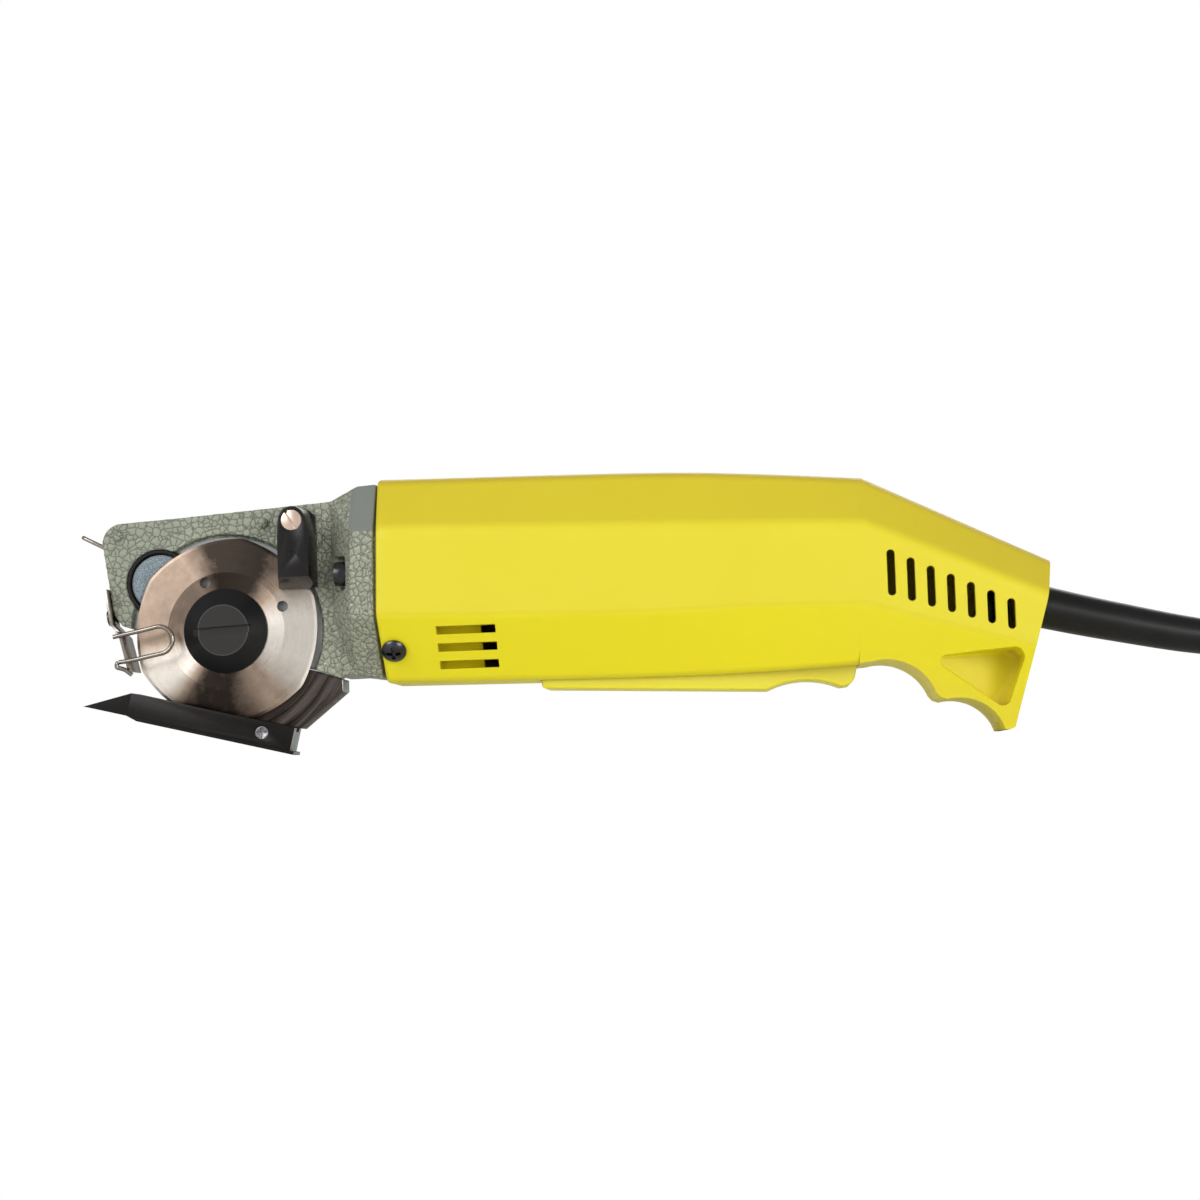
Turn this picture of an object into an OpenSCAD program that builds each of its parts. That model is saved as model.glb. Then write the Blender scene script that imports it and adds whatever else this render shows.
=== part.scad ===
// Hand-held round-knife cloth cutter: a motor in a two-part handle turns a bevelled
// round blade through a worm drive in a cast gear head, above a low cloth foot.
// +X runs from the head to the cord, +Y from the blade side to the back, +Z is up.
// The cutter stands on its foot heel and on the tip of its butt, both at z = 0.

/* [Blade] */
// Nominal diameter across the blade's flats
blade_d = 50; // [48:0.5:50]
// Blade thickness at the hub
blade_t = 1.2; // [1:0.1:1.4]
// How far each corner of the blade stands out past the flats
blade_corner = 0.9; // [0:0.1:1]
// Radius of the flat middle, inside the bevel
blade_flat_r = 16.2; // [15:0.1:18]

/* [Handle] */
// Half of the handle's width at its side faces
handle_half_w = 27; // [26.5:0.5:30]
// Wall thickness of the moulded shells
wall = 2.5; // [2:0.1:3]
// Half of the trigger paddle's width
paddle_half_w = 11; // [9:0.5:11]

/* [Foot] */
// Length of the foot's sole plate
sole_len = 59.5; // [59:0.5:61]
// Height of the bar beside the blade
foot_h = 6.3; // [5.5:0.1:6.5]
// Angle at which the foot slopes while the cutter stands
foot_slope = 14; // [13.5:0.1:14.5]

/* [Cord] */
// Diameter of the mains lead
cord_d = 6.5; // [6:0.1:7]
// Straight run between the two bends of the stored hank
hank_run = 34; // [30:1:36]

/* [Hidden] */
$fn = 48;
fit_gap = 0.05;
slack = 0.3;
far_out = 60;

// Where the length's middle lies in the drawing's own x, which starts near the heel
frame_x = 72.9;

// Blade axis and the planes of the head, counted in y from the middle of the handle
axis_x = -18.4;
axis_z = 34.7;
blade_back = -14.6;
blade_front = blade_back - blade_t;
plate_near = -14.3;
plate_far = -8;
recess_y = -12.5;
case_far = 9;
case_front = -29.6;

// Worm drive: two starts on a twenty-tooth wheel
motor_z = 48.4;
worm_module = 1;
worm_lead = 2 * PI * worm_module;
wheel_teeth = 20;
wheel_r = wheel_teeth * worm_module / 2;
worm_r = motor_z - axis_z - wheel_r;
worm_turns = 2.5;
worm_len = 14.5;
worm_x0 = axis_x - worm_turns * worm_lead / 2;

// Stone behind the blade
stone_x = -37;
stone_z = 48.8;
stone_r = 7.8;
stone_lift = 1;

// Trigger
pivot_x = 72.5;
pivot_z = 22.4;
plunger_x = 124;

// Handle sections, each from the top edge down: [x, half width, z]
top_w = handle_half_w - 10.7;
low_w = handle_half_w - 13;
handle_front = [[24.6, top_w, 74.8], [25.3, handle_half_w, 59.8], [24.7, handle_half_w, 36.5],
                [25.3, low_w, 18.8]];
handle_middle = [[96.9, top_w, 73.7], [91.5, handle_half_w, 58.0], [90.7, handle_half_w, 34.8],
                 [98, low_w + 0.5, 17.8]];
handle_grip = [[128, top_w, 72.1], [126, handle_half_w, 57.1], [128.4, handle_half_w, 35.2],
               [128, low_w + 2, 18.0]];
handle_bend = [[156.9, top_w, 69.7], [156.7, handle_half_w, 56.1], [155.9, handle_half_w, 35.0],
               [154, low_w + 5.5, 18.9]];
butt_front = concat(handle_bend, [[154, handle_half_w - 10, -3]]);
butt_rear = [[206.8, top_w - 1, 45.2], [204.8, handle_half_w - 0.5, 35.3],
             [200.8, handle_half_w - 0.5, 21.6], [198.4, handle_half_w - 7, 12],
             [194.2, handle_half_w - 10, -3]];
butt_room_rear = [[203.4, top_w - 3, 42.6], [201.6, handle_half_w - 3.2, 34.4],
                  [198.2, handle_half_w - 3.2, 24.6], [197.8, handle_half_w - 8, 23.6]];

// Cord route from the boot's end to the hank, then from the hank to the plug
boot_route = [[200, 0, 35], [207, 0, 33.2], [214, 0, 31.4], [221, 0, 29.7], [228, 0, 28.1],
              [235, 0, 26.5], [242, 0, 25], [248, 0, 23.9], [254, 0, 22.9], [260, 0, 22]];
cord_r = cord_d / 2;
hank_x = 326;
hank_y = 6.2;
hank_in = 20;
hank_out = 29.9;
hank_end = hank_x + hank_run;
lead_route = [[260, 0, 22], [266, -0.4, 21.1], [272, -1.8, 19.6], [278, -4.2, 17.2],
              [284, -7.4, 13.9], [290, -11.2, 10.3], [296, -14.8, 7.1], [302, -18, 4.8],
              [308, -20.6, 3.7], [314, -22.3, 3.6], [320, -23.2, 3.6]];
tail_route = [for (p = [[4, -23.6, 22.6], [12, -23, 21.4], [18, -21.8, 19.3], [25, -19.6, 16],
                        [32, -16.8, 12.6], [39, -14, 9.8], [45, -11.8, 8.2], [51, -10.2, 7.3],
                        [57, -9.2, 7], [61, -9, 7]]) [hank_end + p[0], p[1], p[2]]];
plug_x = hank_end + 61;
plug_y = -9;
plug_z = 7;
pin_spacing = 19;
pin_r = 2;
pin_len = 19;

// ---- helpers ----

module in_frame() translate([-frame_x, 0, 0]) children();

// Thickens an outline drawn in (x, z) from y0 to y1
module slab(y0, y1) translate([0, y1, 0]) rotate([90, 0, 0]) linear_extrude(y1 - y0) children();

module y_rod(x, z, r, y0, y1) translate([x, y1, z]) rotate([90, 0, 0]) cylinder(r = r, h = y1 - y0);

// Cone along y, of radius r0 at y0 and r1 at y1
module y_cone(x, z, r0, r1, y0, y1) translate([x, y0, z]) rotate([-90, 0, 0])
  cylinder(r1 = r0, r2 = r1, h = y1 - y0);

module x_rod(z, r, x0, x1, y = 0) translate([x0, y, z]) rotate([0, 90, 0]) cylinder(r = r, h = x1 - x0);

// Box from its lowest to its highest corner
module block(a, b) translate(a) cube(b - a);

function arc(cx, cz, r, a0, a1, n) =
  [for (i = [0:n]) let(a = a0 + (a1 - a0) * i / n) [cx + r * cos(a), cz + r * sin(a)]];

function unit(v) = v / norm(v);

// Closed ring of a symmetrical section, near side downwards and far side upwards
function ring(side) = concat([for (p = side) [p[0], -p[1], p[2]]],
  [for (i = [len(side) - 1:-1:0]) side[i]]);

// Section moved inwards by w, and along x by dx
inward = [-1, -0.4, 0.4, 1];
function inset(side, w, dx = 0) =
  [for (i = [0:3]) [side[i][0] + dx, side[i][1] - w, side[i][2] + w * inward[i]]];

// Solid through rings of equal length
module loft(rings) {
  n = len(rings[0]);
  last = len(rings) - 1;
  sides = [for (i = [0:last - 1], k = [0:n - 1])
    let(a = i * n + k, b = i * n + (k + 1) % n) each [[a, a + n, b + n], [a, b + n, b]]];
  polyhedron(points = [for (r = rings) each r],
    faces = concat([[for (k = [0:n - 1]) k]], [[for (k = [n - 1:-1:0]) last * n + k]], sides));
}

// Round tube along a route, with its radius going evenly from r0 to r1
function heading(p, i) = unit(p[min(i + 1, len(p) - 1)] - p[max(i - 1, 0)]);
function tube_ring(p, i, r, n, up) = let(t = heading(p, i), s = unit(cross(t, up)), u = cross(s, t))
  [for (k = [0:n - 1]) p[i] + r * (sin(360 * k / n) * s + cos(360 * k / n) * u)];
module tube(route, r0, r1, n, up = [0, 0, 1]) loft([for (i = [0:len(route) - 1])
  tube_ring(route, i, r0 + (r1 - r0) * i / (len(route) - 1), n, up)]);

// Screw along y: head from y0, shank to y1 (either way), with a cross or a slot left out
module y_screw(x, z, head_r, head_h, r, y0, y1) {
  s = sign(y1 - y0);
  y_rod(x, z, head_r, min(y0, y0 + s * head_h), max(y0, y0 + s * head_h));
  y_rod(x, z, r, min(y0 + s * head_h, y1), max(y0 + s * head_h, y1));
}

// ---- handle ----

module handle_outside() {
  loft([ring(handle_front), ring(handle_middle), ring(handle_grip), ring(handle_bend),
        ring(inset(handle_bend, 3, 2))]);
  intersection() {
    loft([ring(butt_front), ring(butt_rear)]);
    slab(-far_out, far_out) polygon(butt_outline());
  }
}

// Side view of the butt: two finger scallops, the tip and the sloping back
function butt_outline() = concat([[150, 80], [212, 80], [209, 44], [206, 33], [195.9, 2.2], [195.2, 0.6],
  [193.9, 0], [192.6, 0]], arc(180.3, -4, 13, 27, 103, 10), [[175.6, 9.3]],
  arc(161, 5.5, 14.4, 21, 104, 12), [[150, 18.8]]);

module handle_inside() {
  loft([ring(inset(handle_front, wall, -6)), ring(inset(handle_middle, wall)),
        ring(inset(handle_grip, wall)), ring(inset(handle_bend, wall, 1))]);
  loft([ring(concat([for (i = [0:2]) inset(handle_bend, wall, -1)[i]], [[154, low_w + 2, 23.6]])),
        ring(butt_room_rear)]);
}

shell_screw_at = [[36.3, 24.4], [106, 66.5], [162, 29], [186, 49.5]];

// Vents through the near side's face: seven at the back, three low at the front
module vents() {
  for (i = [0:6]) {
    x = 163.4 + 5.22 * i;
    z = 42.7 - 2.03 * i;
    half = 6.2 - 0.35 * i;
    slab(-far_out, 0) translate([x, z]) {
      square([2.2, 2 * half - 2.2], center = true);
      for (s = [-1, 1]) translate([0, s * (half - 1.1)]) circle(r = 1.1);
    }
  }
  for (z = [23, 27.6, 32.1]) slab(-far_out, 0) translate([40.6, z - 1.1]) square([16.2, 2.2]);
}

// Three-cornered pocket in the side of the butt, deeper towards the back
module side_pocket() hull() {
  y_rod(178.6, 18.9, 1.6, -far_out, -20.2, $fn = 32);
  y_rod(195.4, 19.3, 1.8, -far_out, -12.5, $fn = 32);
  y_rod(192.2, 9.4, 1.6, -far_out, -12.5, $fn = 32);
}

// Ribs that carry the stator, the rear bearing and the switch
module shell_ribs() {
  for (x = [60, 89.5]) difference() {
    block([x, -far_out, 10], [x + 2.5, far_out, 80]);
    x_rod(motor_z, 20.05, x - 1, x + 4);
    block([x - 1, -12.5, 0], [x + 4, 12.5, 29]);
  }
  difference() {
    block([118, -far_out, 41.5], [123, far_out, 80]);
    x_rod(motor_z, 8.02, 117, 124);
  }
  for (x = [110, 138.2]) block([x, -far_out, 28.6], [x + 1.8, far_out, 37]);
}

module pivot_boss() for (s = [0, 1]) mirror([0, s, 0]) y_rod(pivot_x, pivot_z, 3.2, paddle_half_w + 0.2, 20);

module shell_blank() {
  difference() {
    handle_outside();
    handle_inside();
  }
  intersection() {
    handle_inside();
    union() {
      shell_ribs();
      pivot_boss();
      for (p = shell_screw_at) y_rod(p[0], p[1], 4, -far_out, far_out);
      for (z = [29.5, 42.5]) y_rod(193, z, 3, -far_out, -4.5);
    }
    block([32, -far_out, 0], [230, far_out, 90]);
  }
}

module shell_cuts() {
  vents();
  side_pocket();
  mirror([0, 1, 0]) side_pocket();
  slab(-paddle_half_w - 0.4, paddle_half_w + 0.4) polygon([[67, 10], [154.5, 10], [154.5, 24], [67, 24]]);
  y_rod(pivot_x, pivot_z, 1.5, -14, 14);
  translate([197, 0, 35.7]) rotate([0, 104, 0]) cylinder(r = 6.2, h = 20);
  for (s = [-1, 1]) low_screw_axis(s) cylinder(r = 1.9, h = 30, center = true);
}

// Puts the front screws' own z axis through the lower facet, pointing out
module low_screw_axis(s) translate([28.6, s * 20, 27.8]) rotate([s * -126, 0, 0]) children();

module near_shell() color([0.91, 0.86, 0.2]) in_frame() difference() {
  intersection() {
    shell_blank();
    block([0, -far_out, -10], [230, 0, 90]);
  }
  shell_cuts();
  for (p = shell_screw_at) y_rod(p[0], p[1], 1.45, -11, 1);
  for (z = [29.5, 42.5]) y_rod(193, z, 1.2, -12, 1);
}

module far_shell() color([0.91, 0.86, 0.2]) in_frame() difference() {
  intersection() {
    shell_blank();
    block([0, 0, -10], [230, far_out, 90]);
  }
  shell_cuts();
  for (p = shell_screw_at) {
    y_rod(p[0], p[1], 1.7, -1, far_out);
    y_rod(p[0], p[1], 3.0, 8, far_out);
  }
}

module shell_screws() color([0.2, 0.2, 0.22]) in_frame()
  for (p = shell_screw_at) difference() {
    y_screw(p[0], p[1], 2.8, 2.2, 1.43, 10.2, -10);
    cross_recess(p[0], p[1], 10.2, 1);
  }

// Cross recess cut into a head whose face is at y, opening towards side
module cross_recess(x, z, y, side) for (a = [0, 90]) translate([x, y, z]) rotate([0, a, 0])
  cube([2.9, 2.2, 0.7], center = true);

module front_screws() color([0.08, 0.08, 0.09]) in_frame() for (s = [-1, 1]) low_screw_axis(s) difference() {
  union() {
    translate([0, 0, 0.9]) intersection() {
      cylinder(r = 3.4, h = 2.2);
      translate([0, 0, -2.6]) sphere(r = 4.6);
    }
    translate([0, 0, -6.5]) cylinder(r = 1.7, h = 7.5);
  }
  translate([0, 0, 2.4]) for (a = [0, 90]) rotate([0, 0, a]) cube([3.8, 0.9, 2.2], center = true);
}

// ---- gear head ----

function head_outline() = concat([[-47.7, 37.3], [-50.0, 40.6]], arc(-47.3, 60.2, 5.5, 180, 92, 6),
  [[-30.7, 66.6], [11.3, 69.4], [13, 70.1], [13, 20.5], [5.1, 23.3]],
  arc(axis_x, axis_z, 20, -30, -178, 14));

module case_outline(back_x) {
  translate([axis_x, axis_z]) circle(r = 15);
  translate([case_front, 40.6]) square([back_x - case_front, 16]);
  translate([axis_x, 21.4]) circle(r = 3);
}

head_waist = [[11, 14.2, 69.3], [11, 14.2, 60], [11, 14.2, 37], [11, 13.4, 21.3]];
head_shoulder = [[18.8, top_w - 0.8, 73.1], [18.2, handle_half_w - 2.5, 59.2],
                 [17.2, handle_half_w - 2.5, 36.6], [16.9, low_w - 0.4, 21.4]];
head_flange = [[24.4, top_w - 0.6, 73.5], [24.4, handle_half_w - 1, 59.4],
               [24.0, handle_half_w - 1, 36.8], [24.4, low_w - 0.3, 20.2]];

module gear_head() color([0.5, 0.55, 0.5]) in_frame() difference() {
  union() {
    difference() {
      slab(plate_near, plate_far) polygon(head_outline());
      y_rod(axis_x, axis_z, 26.8, -far_out, recess_y);
    }
    slab(plate_far - 1, case_far) case_outline(12);
    loft([ring(head_waist), ring(head_shoulder), ring(head_flange)]);
    loft([ring(inset(handle_front, wall + 0.3, -1.5)), ring(inset(handle_front, wall + 0.3, 6))]);
    for (p = [[-48.3, 62.2], [-7.6, 64.2], [12.2, 24.6]]) y_cone(p[0], p[1], 0.9, 1.3, plate_near - 0.6, plate_near + 0.5);
  }
  y_rod(stone_x, stone_z, 9.3, -far_out, plate_far + 0.5);
  y_rod(axis_x, axis_z, 12.3, -5.2, far_out);
  y_rod(axis_x, axis_z, 6.5, -14, -5);
  x_rod(motor_z, 6, -27.6, 14.5);
  x_rod(motor_z, 11.02, 14, 21);
  x_rod(motor_z, 12.5, 21, 40);
  for (s = [0, 1]) mirror([0, s, 0]) {
    block([10, -far_out, 44.3], [16, -15.6, 53.6]);
    x_rod(48.8, 1.8, 15, 24, -19);
  }
  for (s = [-1, 1]) low_screw_axis(s) cylinder(r = 1.72, h = 14, center = true);
  y_rod(2.5, 63.4, 1.6, -far_out, -9);
  for (p = cover_screw_at) y_rod(p[0], p[1], 1, 6.2, far_out);
  guard_screw_axis() translate([0, 0, -6]) cylinder(r = 1.25, h = 9);
  for (p = bracket_screw_at) y_rod(p[0], p[1], 1, -10, far_out);
}

cover_screw_at = [[-27.4, 54.9], [8.4, 54.9], [8.4, 42.2], [axis_x, 21.2]];

module gear_cover() color([0.5, 0.55, 0.5]) in_frame() difference() {
  union() {
    slab(case_far, case_far + 2.5) case_outline(10.8);
    y_rod(axis_x, axis_z, 8.4, 5.2, case_far + 1);
  }
  y_rod(axis_x, axis_z, 6.5, 5, 11);
  for (p = cover_screw_at) y_rod(p[0], p[1], 1.1, 0, far_out);
}

module cover_screws() color([0.75, 0.75, 0.76]) in_frame() for (p = cover_screw_at) difference() {
  y_screw(p[0], p[1], 2.1, 1.5, 0.98, case_far + 4, 6.4);
  cross_recess(p[0], p[1], case_far + 4.4, 1);
}

module flange_screws() color([0.08, 0.08, 0.09]) in_frame() for (s = [-1, 1]) difference() {
  union() {
    x_rod(48.8, 3.3, 12.8, 15.98, s * 19);
    x_rod(48.8, 1.78, 15.9, 23.5, s * 19);
  }
  translate([12.9, s * 19, 48.8]) cube([1.6, 5.2, 1], center = true);
}

// Ball bearing along x: two rings and a row of balls
module ball_bearing(x0, x1, bore, outer) {
  land = (outer - bore) * 0.3;
  mid = (x0 + x1) / 2;
  pitch = (outer + bore) / 2;
  ball = (outer - bore) * 0.24;
  for (rr = [[bore, bore + land], [outer - land, outer]]) difference() {
    x_rod(motor_z, rr[1], x0, x1);
    x_rod(motor_z, rr[0], x0 - 1, x1 + 1);
    translate([mid, 0, motor_z]) rotate([0, 90, 0]) rotate_extrude() translate([pitch, 0]) circle(r = ball + 0.08);
  }
  for (i = [0:7]) translate([mid, 0, motor_z]) rotate([45 * i, 0, 0]) translate([0, 0, pitch]) sphere(r = ball);
}

module front_bearing() color("silver") in_frame() ball_bearing(14.1, 20.9, 4 + fit_gap, 11);

module rear_bearing() color("silver") in_frame() ball_bearing(118.2, 122.8, 3 + fit_gap, 8);

module spindle_bush(y0, y1) difference() {
  y_rod(axis_x, axis_z, 6.49, y0, y1);
  y_rod(axis_x, axis_z, 4 + fit_gap, y0 - 1, y1 + 1);
}

module spindle_near_bush() color([0.72, 0.5, 0.25]) in_frame() spindle_bush(-12.4, -5.2);

module spindle_rear_bush() color([0.72, 0.5, 0.25]) in_frame() spindle_bush(5.3, 10.9);

// ---- motor ----

module motor_shaft() color("silver") in_frame() {
  x_rod(motor_z, 1.6, -26, -10.5);
  x_rod(motor_z, 4, -10.5, 114);
  x_rod(motor_z, 3, 114, 124.5);
}

// Worm section turned along the shaft: two threads, drawn in polar form
function worm_section() = [for (s = [0, 180], p = [[-90, 2.5], [-54.5, 2.5], [-36, 3.6], [-20, 4.6],
  [0, 4.65], [20, 4.6], [36, 3.6], [54.5, 2.5]]) p[1] * [cos(p[0] + s), sin(p[0] + s)]];

module worm() color([0.7, 0.7, 0.72]) in_frame() difference() {
  translate([worm_x0, 0, motor_z]) rotate([0, 90, 0])
    linear_extrude(worm_len, twist = -360 * worm_len / worm_lead, slices = 42) polygon(worm_section());
  x_rod(motor_z, 1.61, -40, 10);
}

module armature_core() color([0.45, 0.45, 0.47]) in_frame() difference() {
  translate([61, 0, motor_z]) rotate([0, 90, 0]) linear_extrude(29) difference() {
    circle(r = 12.9);
    for (i = [0:11]) rotate(30 * i) {
      translate([9.4, 0]) circle(r = 1.5);
      translate([9, -0.6]) square([6, 1.2]);
    }
  }
  x_rod(motor_z, 4.01, 50, 100);
}

// Wire bundles at both ends of the core
module armature_windings() color([0.72, 0.38, 0.2]) in_frame() for (x = [55.4, 90.1])
  translate([x, 0, motor_z]) rotate([0, 90, 0]) rotate_extrude()
    polygon([[4.02, 0], [9, 0], [11.4, 1.6], [11.4, 4.2], [9, 5.5], [4.02, 5.5]]);

module commutator() color([0.75, 0.45, 0.28]) in_frame() difference() {
  translate([100.5, 0, motor_z]) rotate([0, 90, 0]) linear_extrude(11) difference() {
    circle(r = 9);
    for (i = [0:23]) rotate(15 * i) translate([8, -0.2]) square([2, 0.4]);
  }
  x_rod(motor_z, 4.01, 90, 120);
}

module cooling_fan() color([0.15, 0.15, 0.17]) in_frame() difference() {
  union() {
    x_rod(motor_z, 6.5, 35, 46);
    x_rod(motor_z, 19, 44.4, 46);
    for (i = [0:8]) translate([35.5, 0, motor_z]) rotate([40 * i, 0, 0])
      translate([0, -0.6, 5.5]) cube([9.5, 1.2, 13]);
  }
  x_rod(motor_z, 4.01, 30, 50);
}

module stator_core() color([0.42, 0.42, 0.45]) in_frame() translate([60, 0, motor_z]) rotate([0, 90, 0])
  linear_extrude(32) difference() {
    circle(r = 20);
    circle(r = 13.4);
    for (s = [-1, 1]) translate([0, s * 13.2]) square([17, 5.6], center = true);
  }

// One saddle coil over each pole, round the ends of the core
module field_coils() color([0.6, 0.3, 0.15]) in_frame() for (x = [54.6, 92.1], s = [0, 180])
  translate([x, 0, motor_z]) rotate([s, 0, 0]) rotate([0, 90, 0]) rotate([0, 0, 30])
    rotate_extrude(angle = 120) polygon([[14.2, 0], [17.6, 0], [18.6, 1.2], [18.6, 5.3], [14.2, 5.3]]);

module brush_holders() color([0.8, 0.65, 0.3]) in_frame() for (s = [0, 1]) mirror([0, s, 0]) difference() {
  block([101.2, 10.6, motor_z - 4], [110.4, 21.5, motor_z + 4]);
  block([102.9, 9, motor_z - 2.9], [109.1, 30, motor_z + 2.9]);
}

module carbon_brushes() color([0.13, 0.13, 0.14]) in_frame() for (s = [0, 1]) mirror([0, s, 0]) difference() {
  block([103, 8.4, motor_z - 2.8], [109, 16.5, motor_z + 2.8]);
  x_rod(motor_z, 9 + fit_gap, 100, 112);
}

module brush_springs() color([0.8, 0.78, 0.7]) in_frame() for (s = [0, 1]) mirror([0, s, 0]) {
  block([104.5, 16.5, motor_z - 0.4], [107.5, 22.4, motor_z + 0.4]);
  block([101.2, 22.4, motor_z - 3.6], [110.4, 23, motor_z + 3.6]);
}

// ---- blade drive ----

// Straight wheel teeth, each slanted to the worm's lead
module worm_wheel() color([0.75, 0.58, 0.3]) in_frame() difference() {
  union() {
    y_rod(axis_x, axis_z, 8.85, -2.5, 2.5);
    y_rod(axis_x, axis_z, 6.2, -4.3, 4.3);
    for (i = [0:wheel_teeth - 1]) translate([axis_x, 0, axis_z]) rotate([0, 360 / wheel_teeth * i, 0])
      rotate([0, 0, -atan(worm_module / worm_r)])
        slab(-2.4, 2.4) polygon([[-0.98, 8.4], [-0.95, 8.7], [-0.42, 10.9], [0.42, 10.9], [0.95, 8.7], [0.98, 8.4]]);
  }
  y_rod(axis_x, axis_z, 4.01, -10, 10);
}

module blade_spindle() color("silver") in_frame() {
  y_rod(axis_x, axis_z, 4, -15.7, 10.6);
  y_rod(axis_x, axis_z, 3, -18.6, -15.7);
}

module blade_backing_flange() color([0.3, 0.3, 0.32]) in_frame() difference() {
  y_rod(axis_x, axis_z, 9, blade_back, recess_y - slack);
  y_rod(axis_x, axis_z, 4.01, -20, 0);
}

// Six slightly bowed sides, ground by hand, so that the corners aren't evenly spaced
blade_corners = [20, 78, 144, 203, 262, 322, 380];
function blade_outline() = [for (i = [0:5], k = [0:7])
  let(t = k / 4 - 1, a = blade_corners[i] + (blade_corners[i + 1] - blade_corners[i]) * k / 8)
  (blade_d / 2 + blade_corner * t * t) * [cos(a), sin(a)]];

module round_blade() color([0.75, 0.72, 0.68]) in_frame() difference() {
  intersection() {
    slab(blade_front - 1, blade_back + 1) translate([axis_x, axis_z]) polygon(blade_outline());
    translate([axis_x, 0, axis_z]) rotate([90, 0, 0]) rotate_extrude($fn = 96)
      polygon([[0, -blade_back], [28, -blade_back], [28, -blade_back + 0.1], [blade_flat_r, -blade_front],
               [0, -blade_front]]);
  }
  y_rod(axis_x, axis_z, 4.01, -20, 0);
  for (p = [[-23.9, 48.2], [-2.6, 40.9]]) y_rod(p[0], p[1], 1.5, -20, 0);
}

module blade_clamp_nut() color([0.1, 0.1, 0.11]) in_frame() difference() {
  union() {
    y_rod(axis_x, axis_z, 11.6, blade_front - 0.7, blade_front);
    y_cone(axis_x, axis_z, 6.9, 11.6, -20.3, blade_front - 0.7);
  }
  y_rod(axis_x, axis_z, 3.02, -18.8, 0);
  translate([axis_x, -20.2, axis_z]) rotate([0, -2.5, 0]) cube([24, 2.4, 1.8], center = true);
}

// ---- sharpening stone ----

module sharpening_stone() color([0.45, 0.55, 0.62]) in_frame() difference() {
  y_rod(stone_x, stone_z, stone_r, blade_back + stone_lift, -9.6);
  y_rod(stone_x, stone_z, 2.01, -12.4, 0);
}

module stone_rod() color("silver") in_frame() {
  y_rod(stone_x, stone_z, 2, -12.4, -3.6);
  y_rod(stone_x, stone_z, 1, -3.6, -2.9);
}

bracket_screw_at = [[-47, 57], [-41, 61.5]];
lever_pivot = [-32.6, 45.3];
lever_angle = atan2(stone_z - lever_pivot[1], stone_x - lever_pivot[0]);

// Puts x along the lever, out from its pin, and keeps y as the depth
module along_lever() translate([lever_pivot[0], 0, lever_pivot[1]]) rotate([0, -lever_angle, 0]) children();

module stone_bracket() color([0.6, 0.6, 0.62]) in_frame() difference() {
  union() {
    slab(plate_far, -6.5) polygon([[-49.5, 54], [-49.5, 61], [-45, 64], [-37, 64],
      [-31, 60], [-31, 47], [-33, 45], [-35.5, 41], [-42, 40.5]]);
    y_rod(stone_x, stone_z, 3.6, -6.6, -4.6);
    along_lever() for (z = [-3.8, 2.4]) block([-1.1, -6.6, z], [1.6, -0.9, z + 1.4]);
  }
  y_rod(stone_x, stone_z, 2 + fit_gap, -10, 0);
  along_lever() translate([0, -2, -6]) cylinder(r = 0.8, h = 12);
  for (p = bracket_screw_at) y_rod(p[0], p[1], 1.1, -10, 0);
}

// Lever plate with a hairpin finger loop at its end
module stone_lever() color([0.7, 0.68, 0.62]) in_frame() along_lever() {
  difference() {
    union() {
      block([-1.6, -2.6, -2.2], [17.5, -1.4, 2.2]);
      translate([0, -2, -2.2]) cylinder(r = 1.6, h = 4.4);
    }
    translate([0, -2, -4]) cylinder(r = 0.8 + fit_gap, h = 8);
  }
  translate([15.2, 0, 0]) rotate([0, -11, 0]) {
    for (y = [-3.1, -0.9]) translate([0, y, 0]) rotate([0, 90, 0]) cylinder(r = 0.6, h = 17.6);
    translate([17.6, -2, 0]) rotate([0, 0, -90]) rotate_extrude(angle = 180) translate([1.1, 0])
      circle(r = 0.6, $fn = 24);
  }
}

module lever_pin() color("silver") in_frame() along_lever() translate([0, -2, -3.9]) cylinder(r = 0.79, h = 7.8);

// ---- guards ----

module guard_face(grow) {
  translate([2.5, 63.6]) circle(r = 3.6 + grow * 0.6, $fn = 32);
  translate([-1.5 - grow * 1.6, 48 - grow * 2.4]) square([8.4 + grow * 2.2, 12]);
}

module guard_block() color([0.09, 0.09, 0.1]) in_frame() difference() {
  union() {
    hull() {
      slab(-27, -26.6) guard_face(0);
      slab(-17.2, -16.3) guard_face(1);
    }
    slab(-16.5, plate_near - 0.02) intersection() {
      translate([-3.2, 57.8]) square([10.4, 10]);
      translate([2.3, 61.5]) circle(r = 6.2);
    }
  }
  y_rod(2.5, 63.4, 1.65, -far_out, 0);
  y_rod(2.5, 63.4, 2.9, -far_out, -25.2);
  y_rod(2.7, 54.2, 0.9, -28, -26.5);
}

module guard_block_screw() color([0.8, 0.55, 0.42]) in_frame() difference() {
  y_screw(2.5, 63.4, 2.75, 1.75, 1.58, -27, -9.2);
  translate([2.5, -27, 63.4]) rotate([0, 59, 0]) cube([8, 1.4, 0.8], center = true);
}

// The strip lies on the head's front edge and hangs down before the blade
edge_lean = atan2(2.8, 20.7);
guard_run = [[-51.9, 47.4], [-50.55, 37.6], [-47.2, 34.1], [-44.9, 24.4]];

module guard_screw_axis() translate([-51.05, -10.5, 39.9]) rotate([0, -90 - edge_lean, 0]) children();

module guard_strip() color([0.72, 0.7, 0.66]) in_frame() difference() {
  slab(-20.3, -8.4) polygon(concat(guard_run, [for (i = [3:-1:0]) guard_run[i] + [0.9, 0]]));
  slab(-26, -16.5) translate([-60, 35.5]) square([20, 20]);
  hull() for (d = [-0.4, 3.6]) guard_screw_axis() translate([d, 0, -6]) cylinder(r = 1.5, h = 9, $fn = 32);
}

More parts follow.
